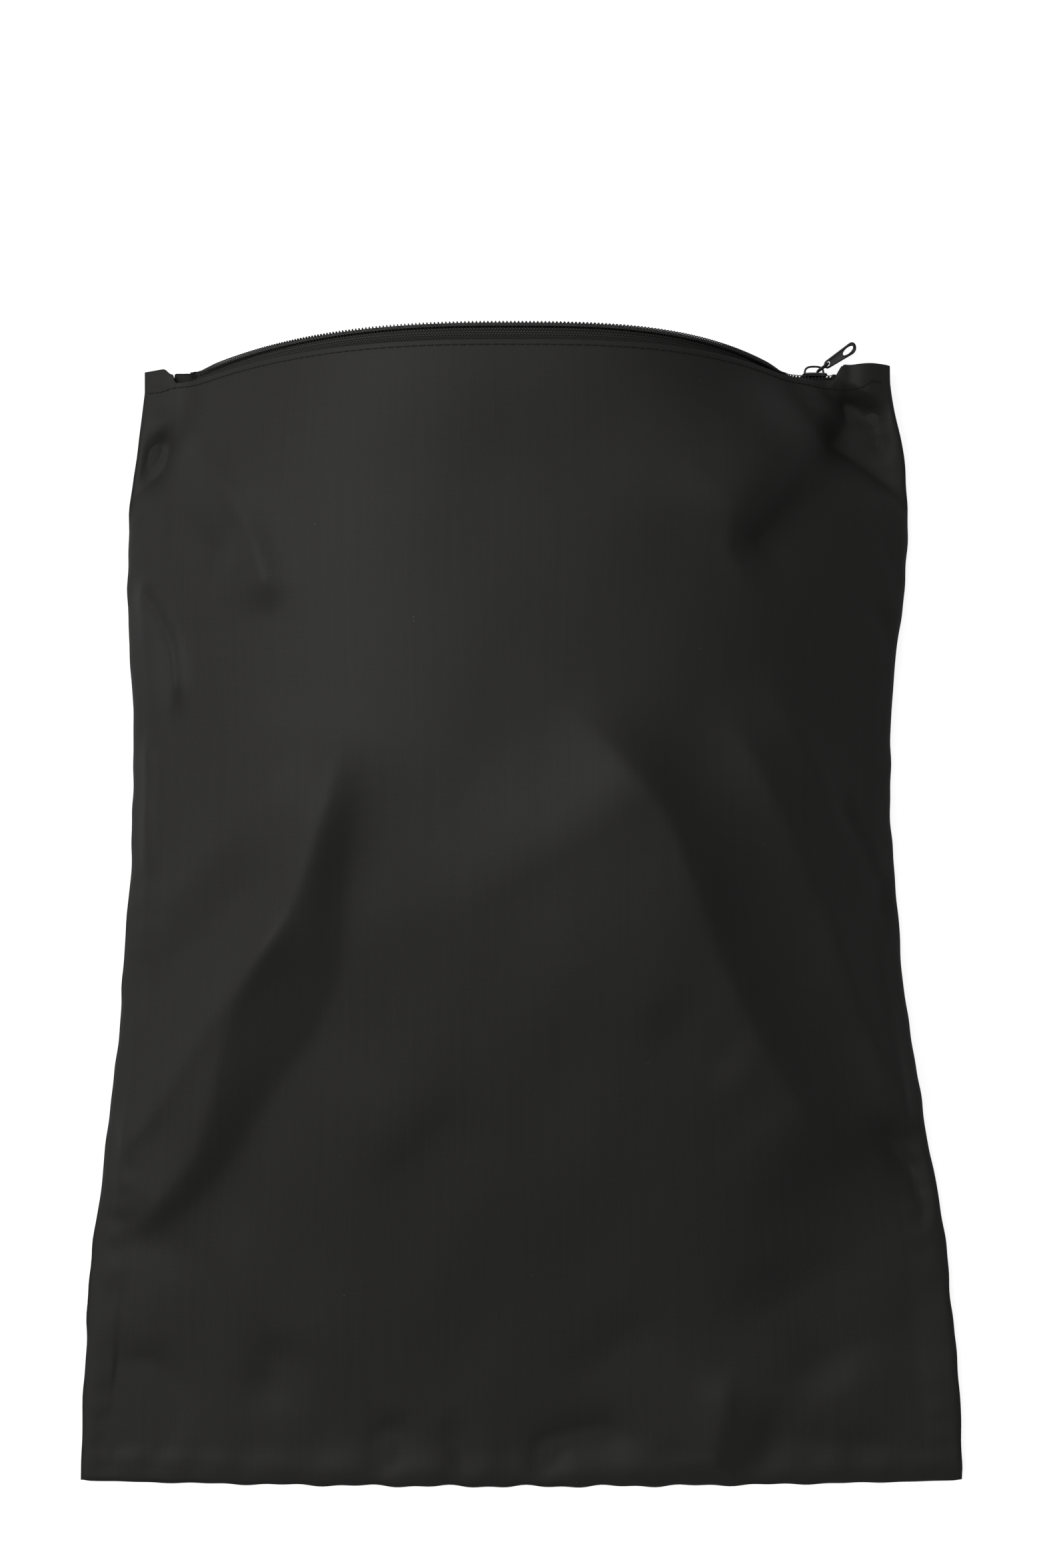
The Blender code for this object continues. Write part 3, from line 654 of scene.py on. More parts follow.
def make_back_tape():
    """The back tape: flat on the back panel's hem, then turned up behind the back coil."""
    profile = np.array([(0.2125, 0.00128), (0.2160, 0.00128), (0.2200, 0.00128), (0.2212, 0.0013),
                        (0.2217, 0.0015), (0.2219, 0.0020), (0.2220, 0.0028), (0.2220, 0.0036),
                        (0.2220, 0.0046)])
    x = np.linspace(-TAPE_END, TAPE_END, 121)
    points = points_of(x, profile[:, :1], profile[:, 1:])
    across = arc_length(profile)
    uv = np.stack(np.meshgrid(x + TAPE_END, across), axis=-1)
    obj = surface("back_zipper_tape_cloth", points, uv)
    return thicken(obj, TAPE_THICK, 0.0), across[-1]


def stitch_row(name, line, up):
    """Separate stitches along a line on the cloth: each 2.3 mm of thread that dives in at both ends."""
    length = arc_length(line)
    starts = np.arange(0.0006, length[-1] - 0.003, STITCH_PITCH)
    share = np.linspace(0, 1, 7)
    places = starts[:, None] + 0.0024 * share[None, :]
    centre = in_space(places, length, line)
    normal = in_space(places, length, up)
    rise = 0.00022 * np.sin(math.pi * share) ** 0.6 - 0.00012
    return tubes(name, centre + rise[None, :, None] * normal, 0.00019, unit(normal), sides=6)


def make_stitching():
    """Topstitch rows along the hems of the front panel, into both ears, and of the back panel."""
    x = np.linspace(-0.1500, 0.1500, 1201)
    y = stitch_line(x)
    line = points_of(x, y, hem_cloth(x, y))
    front = stitch_row("front_topstitch_thread", line, front_normal(x, np.minimum(y, HEM_Y)))
    x = np.linspace(-0.1300, 0.1300, 400)
    line = points_of(x, BACK_STITCH_Y, 0.00152)
    back = stitch_row("back_topstitch_thread", line, np.broadcast_to(np.array([0, 0, 1.0]), line.shape))
    return front, back


def make_end_tab(side, name):
    """A strip folded over the cut end of the zip: a rounded section in y and z with the fold's crease
    on its open side, carried across the tab's width, with soft closed ends."""
    low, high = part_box(name)
    low.y -= TAB_OVERLAP[1]
    high.y += 0.0005
    if side < 0:
        high.x += TAB_OVERLAP[0]
    else:
        low.x -= TAB_OVERLAP[0]
    turn = full_turn(40)
    middle_y = (low.y + high.y) / 2
    middle_z = (low.z + high.z) / 2
    half_y = (high.y - low.y) / 2
    half_z = (high.z - low.z) / 2
    rings = []
    for share, scale in ((0, 0.55), (0.03, 0.86), (0.10, 0.97), (0.30, 1.0), (0.50, 0.985), (0.70, 1.0),
                         (0.90, 0.97), (0.97, 0.86), (1, 0.55)):
        y = middle_y + scale * half_y * signed_power(np.cos(turn), 0.5)
        z = middle_z + (half_z - half_y * (1 - scale)) * signed_power(np.sin(turn), 0.5)
        slit = 0.5 * half_y * np.exp(-((z - middle_z) / 0.0007) ** 2) * (np.cos(turn) < 0)
        wobble = 0.00012 * np.sin(3 * turn + 9 * share)
        rings.append(points_of(low.x + share * (high.x - low.x), y + slit, z + wobble))
    return closed_rings(name + "_cloth", rings)


def make_bar_tack(name):
    """A dense zigzag of thread, 1.1 mm wide, from the hem's edge over the front tape and its coil: it
    follows the tape's bend at the place along the zip that the node gives, and rises over the coil."""
    low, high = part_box(name)
    x = np.full(TACK_TURNS, (low.x + high.x) / 2)
    start, bend, end, outward = tape_bend(x)
    t = np.linspace(0.04, 1, TACK_TURNS)[:, None]
    line = (1 - t) ** 2 * start + 2 * t * (1 - t) * bend + t ** 2 * end
    up = unit(np.cross(np.array([1.0, 0, 0]), np.gradient(line, axis=0)))
    line = line + (TAPE_THICK / 2 + 0.00016) * up + 0.00165 * smooth((t - 0.30) / 0.45) * outward
    line[:, 0] += 0.00055 * np.where(np.arange(TACK_TURNS) % 2 == 0, 1, -1)
    return tubes(name + "_thread", [line], 0.00017, (0, 1, 0), sides=6)


def slab(name, outline, low, high, bevel, frame_of):
    """A plate with rounded rims: its outline (points, 2) as four levels, drawn in by the bevel at both
    faces, and two flat faces. frame_of turns (along, across, height) into the piece's place."""
    ahead = np.roll(outline, -1, axis=0) - np.roll(outline, 1, axis=0)
    inward = unit(np.stack([-ahead[:, 1], ahead[:, 0]], axis=-1))
    levels = []
    for inset, height in ((1.0, low), (0.3, low + 0.3 * bevel), (0.0, low + bevel), (0.0, high - bevel),
                          (0.3, high - 0.3 * bevel), (1.0, high)):
        ring = outline + inset * bevel * inward
        levels.append(frame_of(ring[:, 0], ring[:, 1], np.full(len(ring), height)))
    obj = closed_rings(name, levels)
    tidy_normals(obj)
    return obj


def tidy_normals(obj):
    """Merges doubled points and turns every face of a closed piece outwards."""
    work = bmesh.new()
    work.from_mesh(obj.data)
    bmesh.ops.remove_doubles(work, verts=work.verts, dist=1e-7)
    bmesh.ops.recalc_face_normals(work, faces=work.faces)
    work.to_mesh(obj.data)
    work.free()


def slider_place(along, across, height):
    """Slider sizes to the model's frame: along x, across z, height out of the zip's plane along y."""
    return points_of(along, CHAIN_Y + height, CHAIN_Z + across)


def make_slider_body():
    """Two shield-shaped plates, broad at the shoulders that open the chain and slimmer at the tail, with
    the flanges folded in along both edges and the diamond that holds the plates apart."""
    left = slider_low.x
    length = slider_high.x - slider_low.x
    half = (slider_high.z - slider_low.z) / 2
    turn = full_turn(64)
    along = signed_power(np.cos(turn), 0.45)
    across = signed_power(np.sin(turn), 0.55)
    waist = 1 - 0.11 * smooth((along + 0.2) / 1.0)
    outline = np.stack([left + length * (0.5 + 0.5 * along), across * half * waist], axis=-1)
    pieces = [slab("slider_outer_plate", outline, 0.00140, slider_high.y - CHAIN_Y, 0.00028, slider_place),
              slab("slider_inner_plate", outline, slider_low.y - CHAIN_Y, -0.00140, 0.00028, slider_place)]
    t = np.linspace(0, 1, 24)
    rail_x = left + 0.0022 + t * (length - 0.0032)
    rail_z = half * (1 - 0.11 * smooth(((2 * (rail_x - left) / length - 1) + 0.2) / 1.0)) - 0.00055
    rails = []
    for y_side in (-1, 1):
        for z_side in (-1, 1):
            rails.append(slider_place(rail_x, z_side * rail_z, np.full(t.shape, y_side * 0.00118)))
    pieces.append(tubes("slider_flanges", rails, 0.00040, (0, 1, 0), sides=10, wide=1.2))
    turn = full_turn(32)
    diamond = np.stack([left + 0.00235 + 0.00165 * signed_power(np.cos(turn), 1.3),
                        0.00085 * signed_power(np.sin(turn), 1.1)], axis=-1)
    pieces.append(slab("slider_diamond", diamond, -0.00150, 0.00150, 0.00010, slider_place))
    return pieces


def make_slider_bridge():
    """A strap arched over the outer plate from the shoulders to the tail: a flattened tube along a half
    oval, with a foot on the plate at each end."""
    low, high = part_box("slider_bridge")
    foot = slider_high.y - 0.0002
    crest = high.y - 0.00045
    turn = np.linspace(math.pi, 0, 33)
    middle = (low.x + high.x) / 2
    reach = (high.x - low.x) / 2 - 0.0006
    x = middle + reach * signed_power(np.cos(turn), 0.75)
    y = foot + (crest - foot) * np.abs(np.sin(turn)) ** 0.55
    path = points_of(x, y, CHAIN_Z)
    return tubes("slider_bridge_strap", [path], 0.00042, (0, 0, 1), sides=12)


LINK_TURN = math.radians(35)
LINK_LENGTH = 0.005
LINK_HALF = 0.0026
HINGE = np.array([0.1226, 0.22635, 0.0065])
TAB_DROOP = math.radians(12)
TAB_ROLL = math.radians(42)
TAB_LENGTH = 0.0165
TAB_TIP_HALF = 0.0026
TAB_BASE_HALF = 0.0018
TAB_WINDOW = TAB_LENGTH - 0.0058


def turned(points, axis, angle):
    """Points turned about one axis through the origin."""
    c, s = math.cos(angle), math.sin(angle)
    turns = {"x": ((1, 0, 0), (0, c, -s), (0, s, c)),
             "y": ((c, 0, s), (0, 1, 0), (-s, 0, c)),
             "z": ((c, -s, 0), (s, c, 0), (0, 0, 1))}
    return points @ np.array(turns[axis], float).T


def make_link():
    """A wire ring: a rounded rectangle from the hinge bar to the bar that holds the tab."""
    corner = 0.0013
    points = []
    for cx, cz, start in ((LINK_LENGTH - corner, LINK_HALF - corner, 0), (corner, LINK_HALF - corner, 90),
                          (corner, corner - LINK_HALF, 180), (LINK_LENGTH - corner, corner - LINK_HALF, 270)):
        angle = np.radians(start + np.linspace(0, 90, 9))
        points.append(points_of(cx + corner * np.cos(angle), 0, cz + corner * np.sin(angle)))
    loop = HINGE + turned(np.concatenate(points), "z", LINK_TURN)
    return tubes("pull_link_ring", [loop], 0.00045, turned(np.array([0, 1.0, 0]), "z", LINK_TURN), sides=12,
                 cyclic=True)


def tab_place(along, across, height):
    """Tab sizes to the model's frame: it hangs on the link's bar, drooped and rolled about its length."""
    local = points_of(along, across, height)
    local = turned(turned(local, "x", TAB_ROLL), "y", TAB_DROOP)
    bar = HINGE + turned(np.array([LINK_LENGTH, 0, 0]), "z", LINK_TURN)
    return bar + turned(local, "z", LINK_TURN)


def tab_outline(inset=0.0):
    """Round base about the link's hole, straight sides that widen to a squarer round tip."""
    base = TAB_BASE_HALF - inset
    tip = TAB_TIP_HALF - inset
    end = TAB_LENGTH - TAB_TIP_HALF - 0.0018
    a = np.radians(90 + np.linspace(0, 180, 17))
    b = np.radians(-90 + np.linspace(0, 180, 25))
    back = np.stack([base * np.cos(a), base * np.sin(a)], axis=-1)
    front = np.stack([end + tip * np.abs(np.cos(b)) ** 0.8, tip * signed_power(np.sin(b), 0.9)], axis=-1)
    return np.concatenate([back, front])


def oval(centre, long, short, count=32):
    """An ellipse in the tab's plane, about a centre along it."""
    turn = full_turn(count)
    return np.stack([centre + long * np.cos(turn), short * np.sin(turn)], axis=-1)


def make_tab():
    """The pull tab: a thin plate with a link hole and a long oval window, with a raised rim round its
    outline and round the window on both faces."""
    curve = bpy.data.curves.new("pull_tab_plate", "CURVE")
    curve.dimensions = "2D"
    curve.fill_mode = "BOTH"
    curve.extrude = 0.00022
    curve.bevel_depth = 0.00010
    curve.bevel_resolution = 1
    curve.offset = -0.00010
    window = oval(TAB_WINDOW, 0.0029, 0.0016)
    for outline in (tab_outline(), oval(0.0, 0.00125, 0.00125, 20), window):
        spline = curve.splines.new("POLY")
        spline.points.add(len(outline) - 1)
        flat = np.column_stack([outline, np.zeros(len(outline)), np.ones(len(outline))])
        spline.points.foreach_set("co", flat.ravel())
        spline.use_cyclic_u = True
    source = bpy.data.objects.new("pull_tab_outline", curve)
    bpy.context.scene.collection.objects.link(source)
    bpy.context.view_layer.update()
    mesh = bpy.data.meshes.new_from_object(source.evaluated_get(bpy.context.evaluated_depsgraph_get()))
    bpy.data.objects.remove(source)
    places = np.empty(len(mesh.vertices) * 3)
    mesh.vertices.foreach_get("co", places)
    local = places.reshape(-1, 3)
    mesh.vertices.foreach_set("co", tab_place(local[:, 0], local[:, 1], local[:, 2]).ravel())
    plate = bpy.data.objects.new("pull_tab_plate", mesh)
    bpy.context.scene.collection.objects.link(plate)
    tidy_normals(plate)
    mesh.shade_smooth()
    mesh.set_sharp_from_angle(angle=math.radians(40))
    rims = []
    for ring, radius, name in ((tab_outline(0.00032), 0.00034, "pull_tab_rim"),
                               (oval(TAB_WINDOW, 0.0031, 0.0018, 42), 0.00022, "pull_tab_window_rim")):
        loops = [tab_place(ring[:, 0], ring[:, 1], np.full(len(ring), face * 0.00020)) for face in (-1, 1)]
        up = tab_place(0, 0, 1) - tab_place(0, 0, 0)
        rims.append(tubes(name, loops, radius, up, sides=10, cyclic=True))
    return [plate, *rims]


# ---- Finishes ----
WEAVE_PITCH = 0.00042


def new_group(name, inputs, outputs):
    """An effect with named inputs and outputs, each a name and a socket type."""
    group = bpy.data.node_groups.new(name, "ShaderNodeTree")
    for direction, sockets in (("INPUT", inputs), ("OUTPUT", outputs)):
        for socket, kind in sockets:
            group.interface.new_socket(name=socket, in_out=direction, socket_type=kind)
    return group, group.nodes.new("NodeGroupInput"), group.nodes.new("NodeGroupOutput")


def feed(tree, socket, value):
    """Links a socket to another one, or gives it a number or a colour."""
    if hasattr(value, "links"):
        tree.links.new(value, socket)
    else:
        socket.default_value = value


def math_node(tree, operation, *values):
    node = tree.nodes.new("ShaderNodeMath")
    node.operation = operation
    for socket, value in zip(node.inputs, values):
        feed(tree, socket, value)
    return node.outputs[0]


def noise_node(tree, vector, scale, detail=2.0, rough=0.5):
    node = tree.nodes.new("ShaderNodeTexNoise")
    tree.links.new(vector, node.inputs["Vector"])
    node.inputs["Scale"].default_value = scale
    node.inputs["Detail"].default_value = detail
    node.inputs["Roughness"].default_value = rough
    return node.outputs["Fac"]


def stretched(tree, vector, scale):
    node = tree.nodes.new("ShaderNodeMapping")
    node.inputs["Scale"].default_value = scale
    tree.links.new(vector, node.inputs["Vector"])
    return node.outputs["Vector"]


def plain_weave_group():
    """Plain weave on cloth coordinates in metres: threads over and under each other as a product of two
    sines, with slubs, which are long thin streaks of thicker thread both ways, and soft tone drift."""
    group, inside, out = new_group("plain_weave",
                                   [("Cloth", "NodeSocketVector"), ("Pitch", "NodeSocketFloat")],
                                   [("Height", "NodeSocketFloat"), ("Tone", "NodeSocketFloat")])
    cloth = inside.outputs["Cloth"]
    parts = group.nodes.new("ShaderNodeSeparateXYZ")
    group.links.new(cloth, parts.inputs[0])
    waves = []
    for axis in ("X", "Y"):
        share = math_node(group, "DIVIDE", parts.outputs[axis], inside.outputs["Pitch"])
        waves.append(math_node(group, "SINE", math_node(group, "MULTIPLY", share, math.pi)))
    checker = math_node(group, "MULTIPLY", waves[0], waves[1])
    warp = noise_node(group, stretched(group, cloth, (2600, 22, 1)), 1.0, 2.0)
    weft = noise_node(group, stretched(group, cloth, (26, 2400, 1)), 1.0, 2.0)
    broad = noise_node(group, stretched(group, cloth, (420, 9, 1)), 1.0, 3.0)
    slubs = math_node(group, "MULTIPLY_ADD", warp, 0.6, math_node(group, "MULTIPLY", weft, 0.4))
    height = math_node(group, "MULTIPLY_ADD", checker, 0.5, math_node(group, "MULTIPLY", slubs, 1.4))
    group.links.new(height, out.inputs["Height"])
    tone = math_node(group, "MULTIPLY_ADD", broad, 0.35, math_node(group, "MULTIPLY", slubs, 0.85))
    group.links.new(tone, out.inputs["Tone"])
    return group


def lint_group():
    """Sparse pale specks of dust: cells of 6 mm, of which a few hold a dot under 0.3 mm."""
    group, inside, out = new_group("lint_specks", [("Place", "NodeSocketVector")],
                                   [("Mask", "NodeSocketFloat")])
    cells = group.nodes.new("ShaderNodeTexVoronoi")
    cells.inputs["Scale"].default_value = 160
    group.links.new(inside.outputs["Place"], cells.inputs["Vector"])
    dot = math_node(group, "LESS_THAN", cells.outputs["Distance"], 0.035)
    parts = group.nodes.new("ShaderNodeSeparateColor")
    group.links.new(cells.outputs["Color"], parts.inputs[0])
    chosen = math_node(group, "GREATER_THAN", parts.outputs[0], 0.93)
    group.links.new(math_node(group, "MULTIPLY", dot, chosen), out.inputs["Mask"])
    return group


def herringbone_group():
    """Woven tape: fine ribs that slant one way in one band and the other way in the next. Its Tone is painted
    sheen: a lighter colour on the rib crests, where light would glance off them.
    """
    group, inside, out = new_group("tape_herringbone_and_painted_sheen", [("Cloth", "NodeSocketVector")],
                                   [("Height", "NodeSocketFloat"), ("Tone", "NodeSocketFloat")])
    parts = group.nodes.new("ShaderNodeSeparateXYZ")
    group.links.new(inside.outputs["Cloth"], parts.inputs[0])
    band = math_node(group, "PINGPONG", parts.outputs["Y"], 0.0011)
    slant = math_node(group, "MULTIPLY_ADD", band, 0.9, parts.outputs["X"])
    ribs = math_node(group, "SINE", math_node(group, "MULTIPLY", slant, 2 * math.pi / 0.0011))
    edge = math_node(group, "SINE", math_node(group, "MULTIPLY", parts.outputs["Y"], 2 * math.pi / 0.0011))
    height = math_node(group, "MULTIPLY_ADD", edge, 0.3, ribs)
    group.links.new(height, out.inputs["Height"])
    # painted sheen: the rib crests, broken into dashes, take the lighter colour
    crest = math_node(group, "POWER", math_node(group, "MULTIPLY_ADD", ribs, 0.5, 0.5), 2.5)
    broken = math_node(group, "MULTIPLY_ADD", edge, 0.5, 0.5)
    group.links.new(math_node(group, "MULTIPLY", crest, broken), out.inputs["Tone"])
    return group


def base_material(name, roughness, specular):
    mat = bpy.data.materials.new(name)
    mat.use_nodes = True
    shader = mat.node_tree.nodes["Principled BSDF"]
    shader.inputs["Roughness"].default_value = roughness
    shader.inputs["Specular IOR Level"].default_value = specular
    return mat, mat.node_tree, shader


def colour_mix(tree, factor, dark, light, blend="MIX"):
    """Two colours, each three numbers or a socket, mixed or added by a factor."""
    node = tree.nodes.new("ShaderNodeMix")
    node.data_type = "RGBA"
    node.blend_type = blend
    feed(tree, node.inputs["Factor"], factor)
    for socket, value in ((node.inputs[6], dark), (node.inputs[7], light)):
        feed(tree, socket, value if hasattr(value, "links") else (*value, 1))
    return node.outputs[2]


def bump_from(tree, shader, height, strength, distance):
    bump = tree.nodes.new("ShaderNodeBump")
    bump.inputs["Strength"].default_value = strength
    bump.inputs["Distance"].default_value = distance
    tree.links.new(height, bump.inputs["Height"])
    tree.links.new(bump.outputs["Normal"], shader.inputs["Normal"])


def placed_group(tree, group, vector, socket, **values):
    node = tree.nodes.new("ShaderNodeGroup")
    node.node_tree = group
    tree.links.new(vector, node.inputs[socket])
    for name, value in values.items():
        node.inputs[name].default_value = value
    return node


def own_uv(tree):
    node = tree.nodes.new("ShaderNodeUVMap")
    node.uv_map = "cloth"
    return node.outputs["UV"]


def object_place(tree):
    return tree.nodes.new("ShaderNodeTexCoord").outputs["Object"]


def cloth_material(name, weave, lint, dark, light):
    """Black polyester: the weave's slubs shift its tone a little, and dust specks sit on it."""
    mat, tree, shader = base_material(name, 0.60, 0.17)
    threads = placed_group(tree, weave, own_uv(tree), "Cloth", Pitch=WEAVE_PITCH)
    tone = colour_mix(tree, threads.outputs["Tone"], dark, light)
    dust = placed_group(tree, lint, object_place(tree), "Place")
    dusty = math_node(tree, "MULTIPLY", dust.outputs["Mask"], 0.25)
    shade = colour_mix(tree, dusty, (0, 0, 0), (0.30, 0.29, 0.27))
    tree.links.new(colour_mix(tree, 1.0, tone, shade, "ADD"), shader.inputs["Base Color"])
    shader.inputs["Sheen Weight"].default_value = 0.04
    shader.inputs["Sheen Roughness"].default_value = 0.4
    bump_from(tree, shader, threads.outputs["Height"], 0.22, 0.00010)
    return mat


def tab_cloth_material(weave):
    """The cloth of the end tabs, whose weave follows the tab's own length and height."""
    mat, tree, shader = base_material("end_tab_cloth", 0.7, 0.18)
    threads = placed_group(tree, weave, object_place(tree), "Cloth", Pitch=WEAVE_PITCH)
    tree.links.new(colour_mix(tree, threads.outputs["Tone"], (0.012, 0.012, 0.012), (0.030, 0.029, 0.028)),
                   shader.inputs["Base Color"])
    bump_from(tree, shader, threads.outputs["Height"], 0.3, 0.00012)
    return mat


def tape_material(name, herringbone):
    """Woven polyester tape with herringbone ribs and painted sheen: the rib crests are painted lighter, as
    light glancing off them.
    """
    mat, tree, shader = base_material(name, 0.62, 0.25)
    ribs = placed_group(tree, herringbone, own_uv(tree), "Cloth")
    # painted sheen: the black tape's colour runs up to a light grey on the rib crests
    tree.links.new(colour_mix(tree, ribs.outputs["Tone"], (0.010, 0.010, 0.010), (0.105, 0.103, 0.098)),
                   shader.inputs["Base Color"])
    bump_from(tree, shader, ribs.outputs["Height"], 0.6, 0.00015)
    return mat


def nylon_material(name):
    """Black nylon monofilament: smooth, with faint drawn streaks in its gloss."""
    mat, tree, shader = base_material(name, 0.38, 0.4)
    streak = noise_node(tree, object_place(tree), 900)
    black = colour_mix(tree, streak, (0.016, 0.016, 0.016), (0.036, 0.036, 0.036))
    tree.links.new(black, shader.inputs["Base Color"])
    tree.links.new(math_node(tree, "MULTIPLY_ADD", streak, 0.2, 0.28), shader.inputs["Roughness"])
    return mat


def thread_material(name, dark, light):
    """Spun thread: a twist bump 0.35 mm long and a little fuzz in its tone."""
    mat, tree, shader = base_material(name, 0.6, 0.25)
    place = object_place(tree)
    parts = tree.nodes.new("ShaderNodeSeparateXYZ")
    tree.links.new(place, parts.inputs[0])
    slant = math_node(tree, "ADD", parts.outputs["Y"], parts.outputs["Z"])
    slant = math_node(tree, "ADD", parts.outputs["X"], slant)
    twist = math_node(tree, "SINE", math_node(tree, "MULTIPLY", slant, 2 * math.pi / 0.00035))
    fuzz = noise_node(tree, place, 1500, 2.0)
    tree.links.new(colour_mix(tree, fuzz, dark, light), shader.inputs["Base Color"])
    bump_from(tree, shader, twist, 0.5, 0.00006)
    return mat


def enamel_material(name, wear, dark, light, roughness):
    """Dark enamel on cast zinc: mottled gloss and small worn spots where the metal shows."""
    mat, tree, shader = base_material(name, roughness, 0.5)
    node = placed_group(tree, wear, object_place(tree), "Place")
    tree.links.new(colour_mix(tree, node.outputs["Worn"], dark, light), shader.inputs["Base Color"])
    tree.links.new(math_node(tree, "MULTIPLY", node.outputs["Worn"], 0.7), shader.inputs["Metallic"])
    tree.links.new(math_node(tree, "MULTIPLY_ADD", node.outputs["Mottle"], 0.2, roughness - 0.1),
                   shader.inputs["Roughness"])
    bump_from(tree, shader, node.outputs["Mottle"], 0.15, 0.00004)
    return mat


def wear_group():
    """Mottled enamel and its sparse worn spots."""
    group, inside, out = new_group("enamel_wear", [("Place", "NodeSocketVector")],
                                   [("Worn", "NodeSocketFloat"), ("Mottle", "NodeSocketFloat")])
    mottle = noise_node(group, inside.outputs["Place"], 1400, 3.0)
    patches = noise_node(group, inside.outputs["Place"], 520, 4.0, 0.6)
    worn = math_node(group, "MULTIPLY", math_node(group, "GREATER_THAN", patches, 0.66), 0.5)
    group.links.new(mottle, out.inputs["Mottle"])
    group.links.new(worn, out.inputs["Worn"])
    return group


# ---- Stage, light and camera ----
def area_light(name, place, target, size, power):
    lamp = bpy.data.lights.new(name, "AREA")
    lamp.shape = "SQUARE"
    lamp.size = size
    lamp.energy = power
    obj = bpy.data.objects.new(name, lamp)
    bpy.context.scene.collection.objects.link(obj)
    obj.location = place
    direction = np.asarray(target, float) - np.asarray(place, float)
    yaw = math.atan2(direction[0], -direction[1])
    pitch = math.acos(-direction[2] / np.linalg.norm(direction))
    obj.rotation_euler = (pitch, 0, yaw + math.pi)
    return obj


def build_stage():
    """A white table, an even pale surround, and two softboxes: one from the left, a weak one above."""
    world = bpy.data.worlds.new("studio_white")
    world.use_nodes = True
    nodes = world.node_tree.nodes
    nodes["Background"].inputs["Color"].default_value = (1, 1, 1, 1)
    nodes["Background"].inputs["Strength"].default_value = 0.18
    bpy.context.scene.world = world
    bpy.ops.mesh.primitive_plane_add(size=8, location=(0, 0, -0.0003))
    floor = bpy.context.active_object
    floor.name = "white_table"
    mat, tree, shader = base_material("white_table_paint", 0.8, 0.2)
    shader.inputs["Base Color"].default_value = (0.40, 0.40, 0.40, 1)
    # the table glows white to the camera alone, so that it doesn't light the bag from below
    camera_ray = tree.nodes.new("ShaderNodeLightPath").outputs["Is Camera Ray"]
    glow = colour_mix(tree, camera_ray, (0, 0, 0), (1, 1, 1))
    tree.links.new(glow, shader.inputs["Emission Color"])
    shader.inputs["Emission Strength"].default_value = 0.85
    floor.data.materials.append(mat)
    middle = (0.0, 0.0, 0.03)
    area_light("key_softbox", (-0.66, 0.28, 0.92), middle, 1.0, 8.6)
    area_light("fill_softbox", (0.6, 0.1, 1.5), middle, 1.4, 1.8)


def build_camera():
    """Looks straight down from 0.8 m above the floor, over a point a little beyond the bag's middle."""
    data = bpy.data.cameras.new("overhead_camera")
    data.sensor_width = 36.0
    data.lens = 44.8
    camera = bpy.data.objects.new("overhead_camera", data)
    camera.location = (0.0025, 0.0585, 0.80)
    bpy.context.scene.collection.objects.link(camera)
    bpy.context.scene.camera = camera
    bpy.context.scene.view_settings.view_transform = "Standard"


def finish_piece(obj, material, body, slot, *nodes):
    """Gives a piece its finish and its body and hides the nodes that it stands for; the slot only keeps end
    tabs out of own_mesh.
    """
    obj.data.materials.clear()
    obj.data.materials.append(material)
    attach(obj, body)
    if nodes:
        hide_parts(*nodes)
    if body == "bag" and slot != "end_tab":
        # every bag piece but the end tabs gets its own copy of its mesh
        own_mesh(obj)


def dress_bag(cloth, tape, nylon, thread, coil_thread_painted_glint):
    """Makes the bag's own pieces. cloth holds the front, back, seam and end tab finishes."""
    front = make_front_panel()
    finish_piece(front, cloth[0], "bag", "front_fabric", "front_panel")
    back = make_back_panel()
    finish_piece(back, cloth[1], "bag", "back_fabric", "back_panel")
    seam_pieces = []
    for node, strip, overlock in (*make_side_seams(), ("bottom_seam", *make_bottom_seam())):
        finish_piece(strip, cloth[2], "bag", "seam_allowance", node)
        finish_piece(overlock, thread, "bag", "seam_allowance")
        seam_pieces += [strip, overlock]

    front_tape, tape_length, tape_width = make_front_tape()
    finish_piece(front_tape, tape, "bag", "zipper_tape", "front_zipper_tape")
    back_tape, back_width = make_back_tape()
    finish_piece(back_tape, tape, "bag", "zipper_tape", "back_zipper_tape")
    for name, frame_of in (("front_coil", front_coil_frame), ("back_coil", back_coil_frame)):
        wire, core, threads = make_coil(name, frame_of)
        finish_piece(wire, nylon, "bag", "coil", name)
        finish_piece(core, thread, "bag", "coil")
        finish_piece(threads, coil_thread_painted_glint, "bag", "coil")
    stitches = make_stitching()
    for row, node in zip(stitches, ("front_topstitch", "back_topstitch")):
        finish_piece(row, thread, "bag", "thread", node)
    for side, node in ((-1, "left_end_tab"), (1, "right_end_tab")):
        finish_piece(make_end_tab(side, node), cloth[3], "bag", "end_tab", node)
    for node in ("left_bar_tack_1", "left_bar_tack_2", "right_bar_tack_1", "right_bar_tack_2"):
        finish_piece(make_bar_tack(node), thread, "bag", "thread", node)


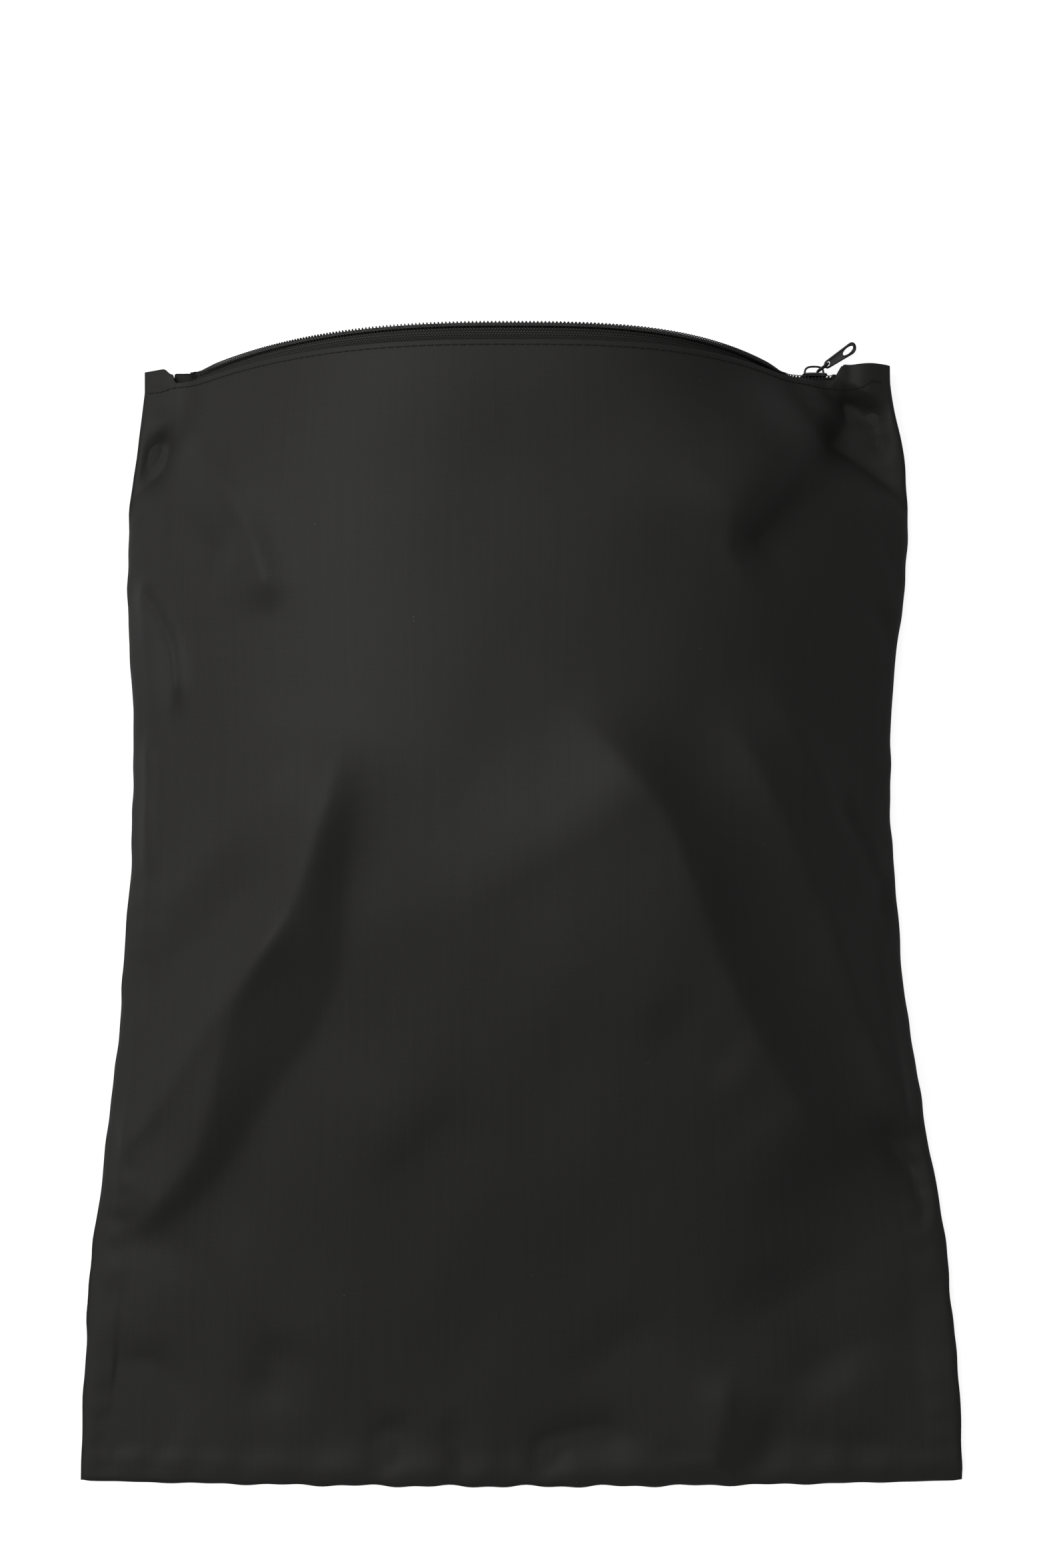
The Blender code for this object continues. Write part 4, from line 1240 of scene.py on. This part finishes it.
def dress_slider(slider_enamel, link_enamel, tab_enamel, rim_enamel):
    """Makes the slider, its link and its tab."""
    plate, *others = make_slider_body()
    finish_piece(plate, slider_enamel, "slider", "slider_enamel", "slider_body")
    for piece in others:
        finish_piece(piece, slider_enamel, "slider", "slider_enamel")
    finish_piece(make_slider_bridge(), slider_enamel, "slider", "slider_enamel", "slider_bridge")
    finish_piece(make_link(), link_enamel, "pull_link", "link_enamel", "pull_link")
    plate, *rims = make_tab()
    # the tab plate wears the lighter, painted-light copy of the black enamel
    finish_piece(plate, tab_enamel, "pull_tab", "tab_enamel", "pull_tab")
    for rim in rims:
        finish_piece(rim, rim_enamel, "pull_tab", "tab_enamel")


def main():
    """Makes the stage, the finishes and every piece."""
    build_camera()
    build_stage()
    weave = plain_weave_group()
    lint = lint_group()
    wear = wear_group()
    cloth = [cloth_material(name, weave, lint, dark, light) for name, dark, light in (
        ("front_cloth", (0.0215, 0.0205, 0.0195), (0.0335, 0.0325, 0.0315)),
        ("back_cloth", (0.0205, 0.0195, 0.0185), (0.0315, 0.0305, 0.0295)),
        ("seam_cloth", (0.018, 0.018, 0.018), (0.034, 0.033, 0.032)))]
    cloth.append(tab_cloth_material(weave))
    # the coil's sewing thread is painted far lighter than the black thread: painted glints for the bright
    # dots along its rows
    thread, coil_thread_painted_glint = (thread_material(name, dark, light) for name, dark, light in (
        ("black_thread", (0.008, 0.008, 0.008), (0.030, 0.030, 0.030)),
        ("coil_sewing_thread_painted_glint", (0.030, 0.030, 0.030), (0.120, 0.118, 0.112))))
    enamels = [enamel_material(name, wear, dark, light, roughness) for name, dark, light, roughness in (
        ("slider_enamel", (0.018, 0.018, 0.019), (0.16, 0.15, 0.14), 0.40),
        ("link_enamel", (0.016, 0.016, 0.017), (0.14, 0.13, 0.12), 0.38),
        # painted light: the pull tab's black enamel gets a much lighter colour than the rim's, for light that
        # its tilted face turns away from
        ("tab_enamel", (0.150, 0.150, 0.154), (0.34, 0.33, 0.32), 0.42),
        ("tab_rim_enamel", (0.020, 0.020, 0.021), (0.16, 0.15, 0.14), 0.40))]
    tape = tape_material("zipper_tape_painted_sheen", herringbone_group())
    dress_bag(cloth, tape, nylon_material("coil_nylon"), thread, coil_thread_painted_glint)
    dress_slider(*enamels)


main()
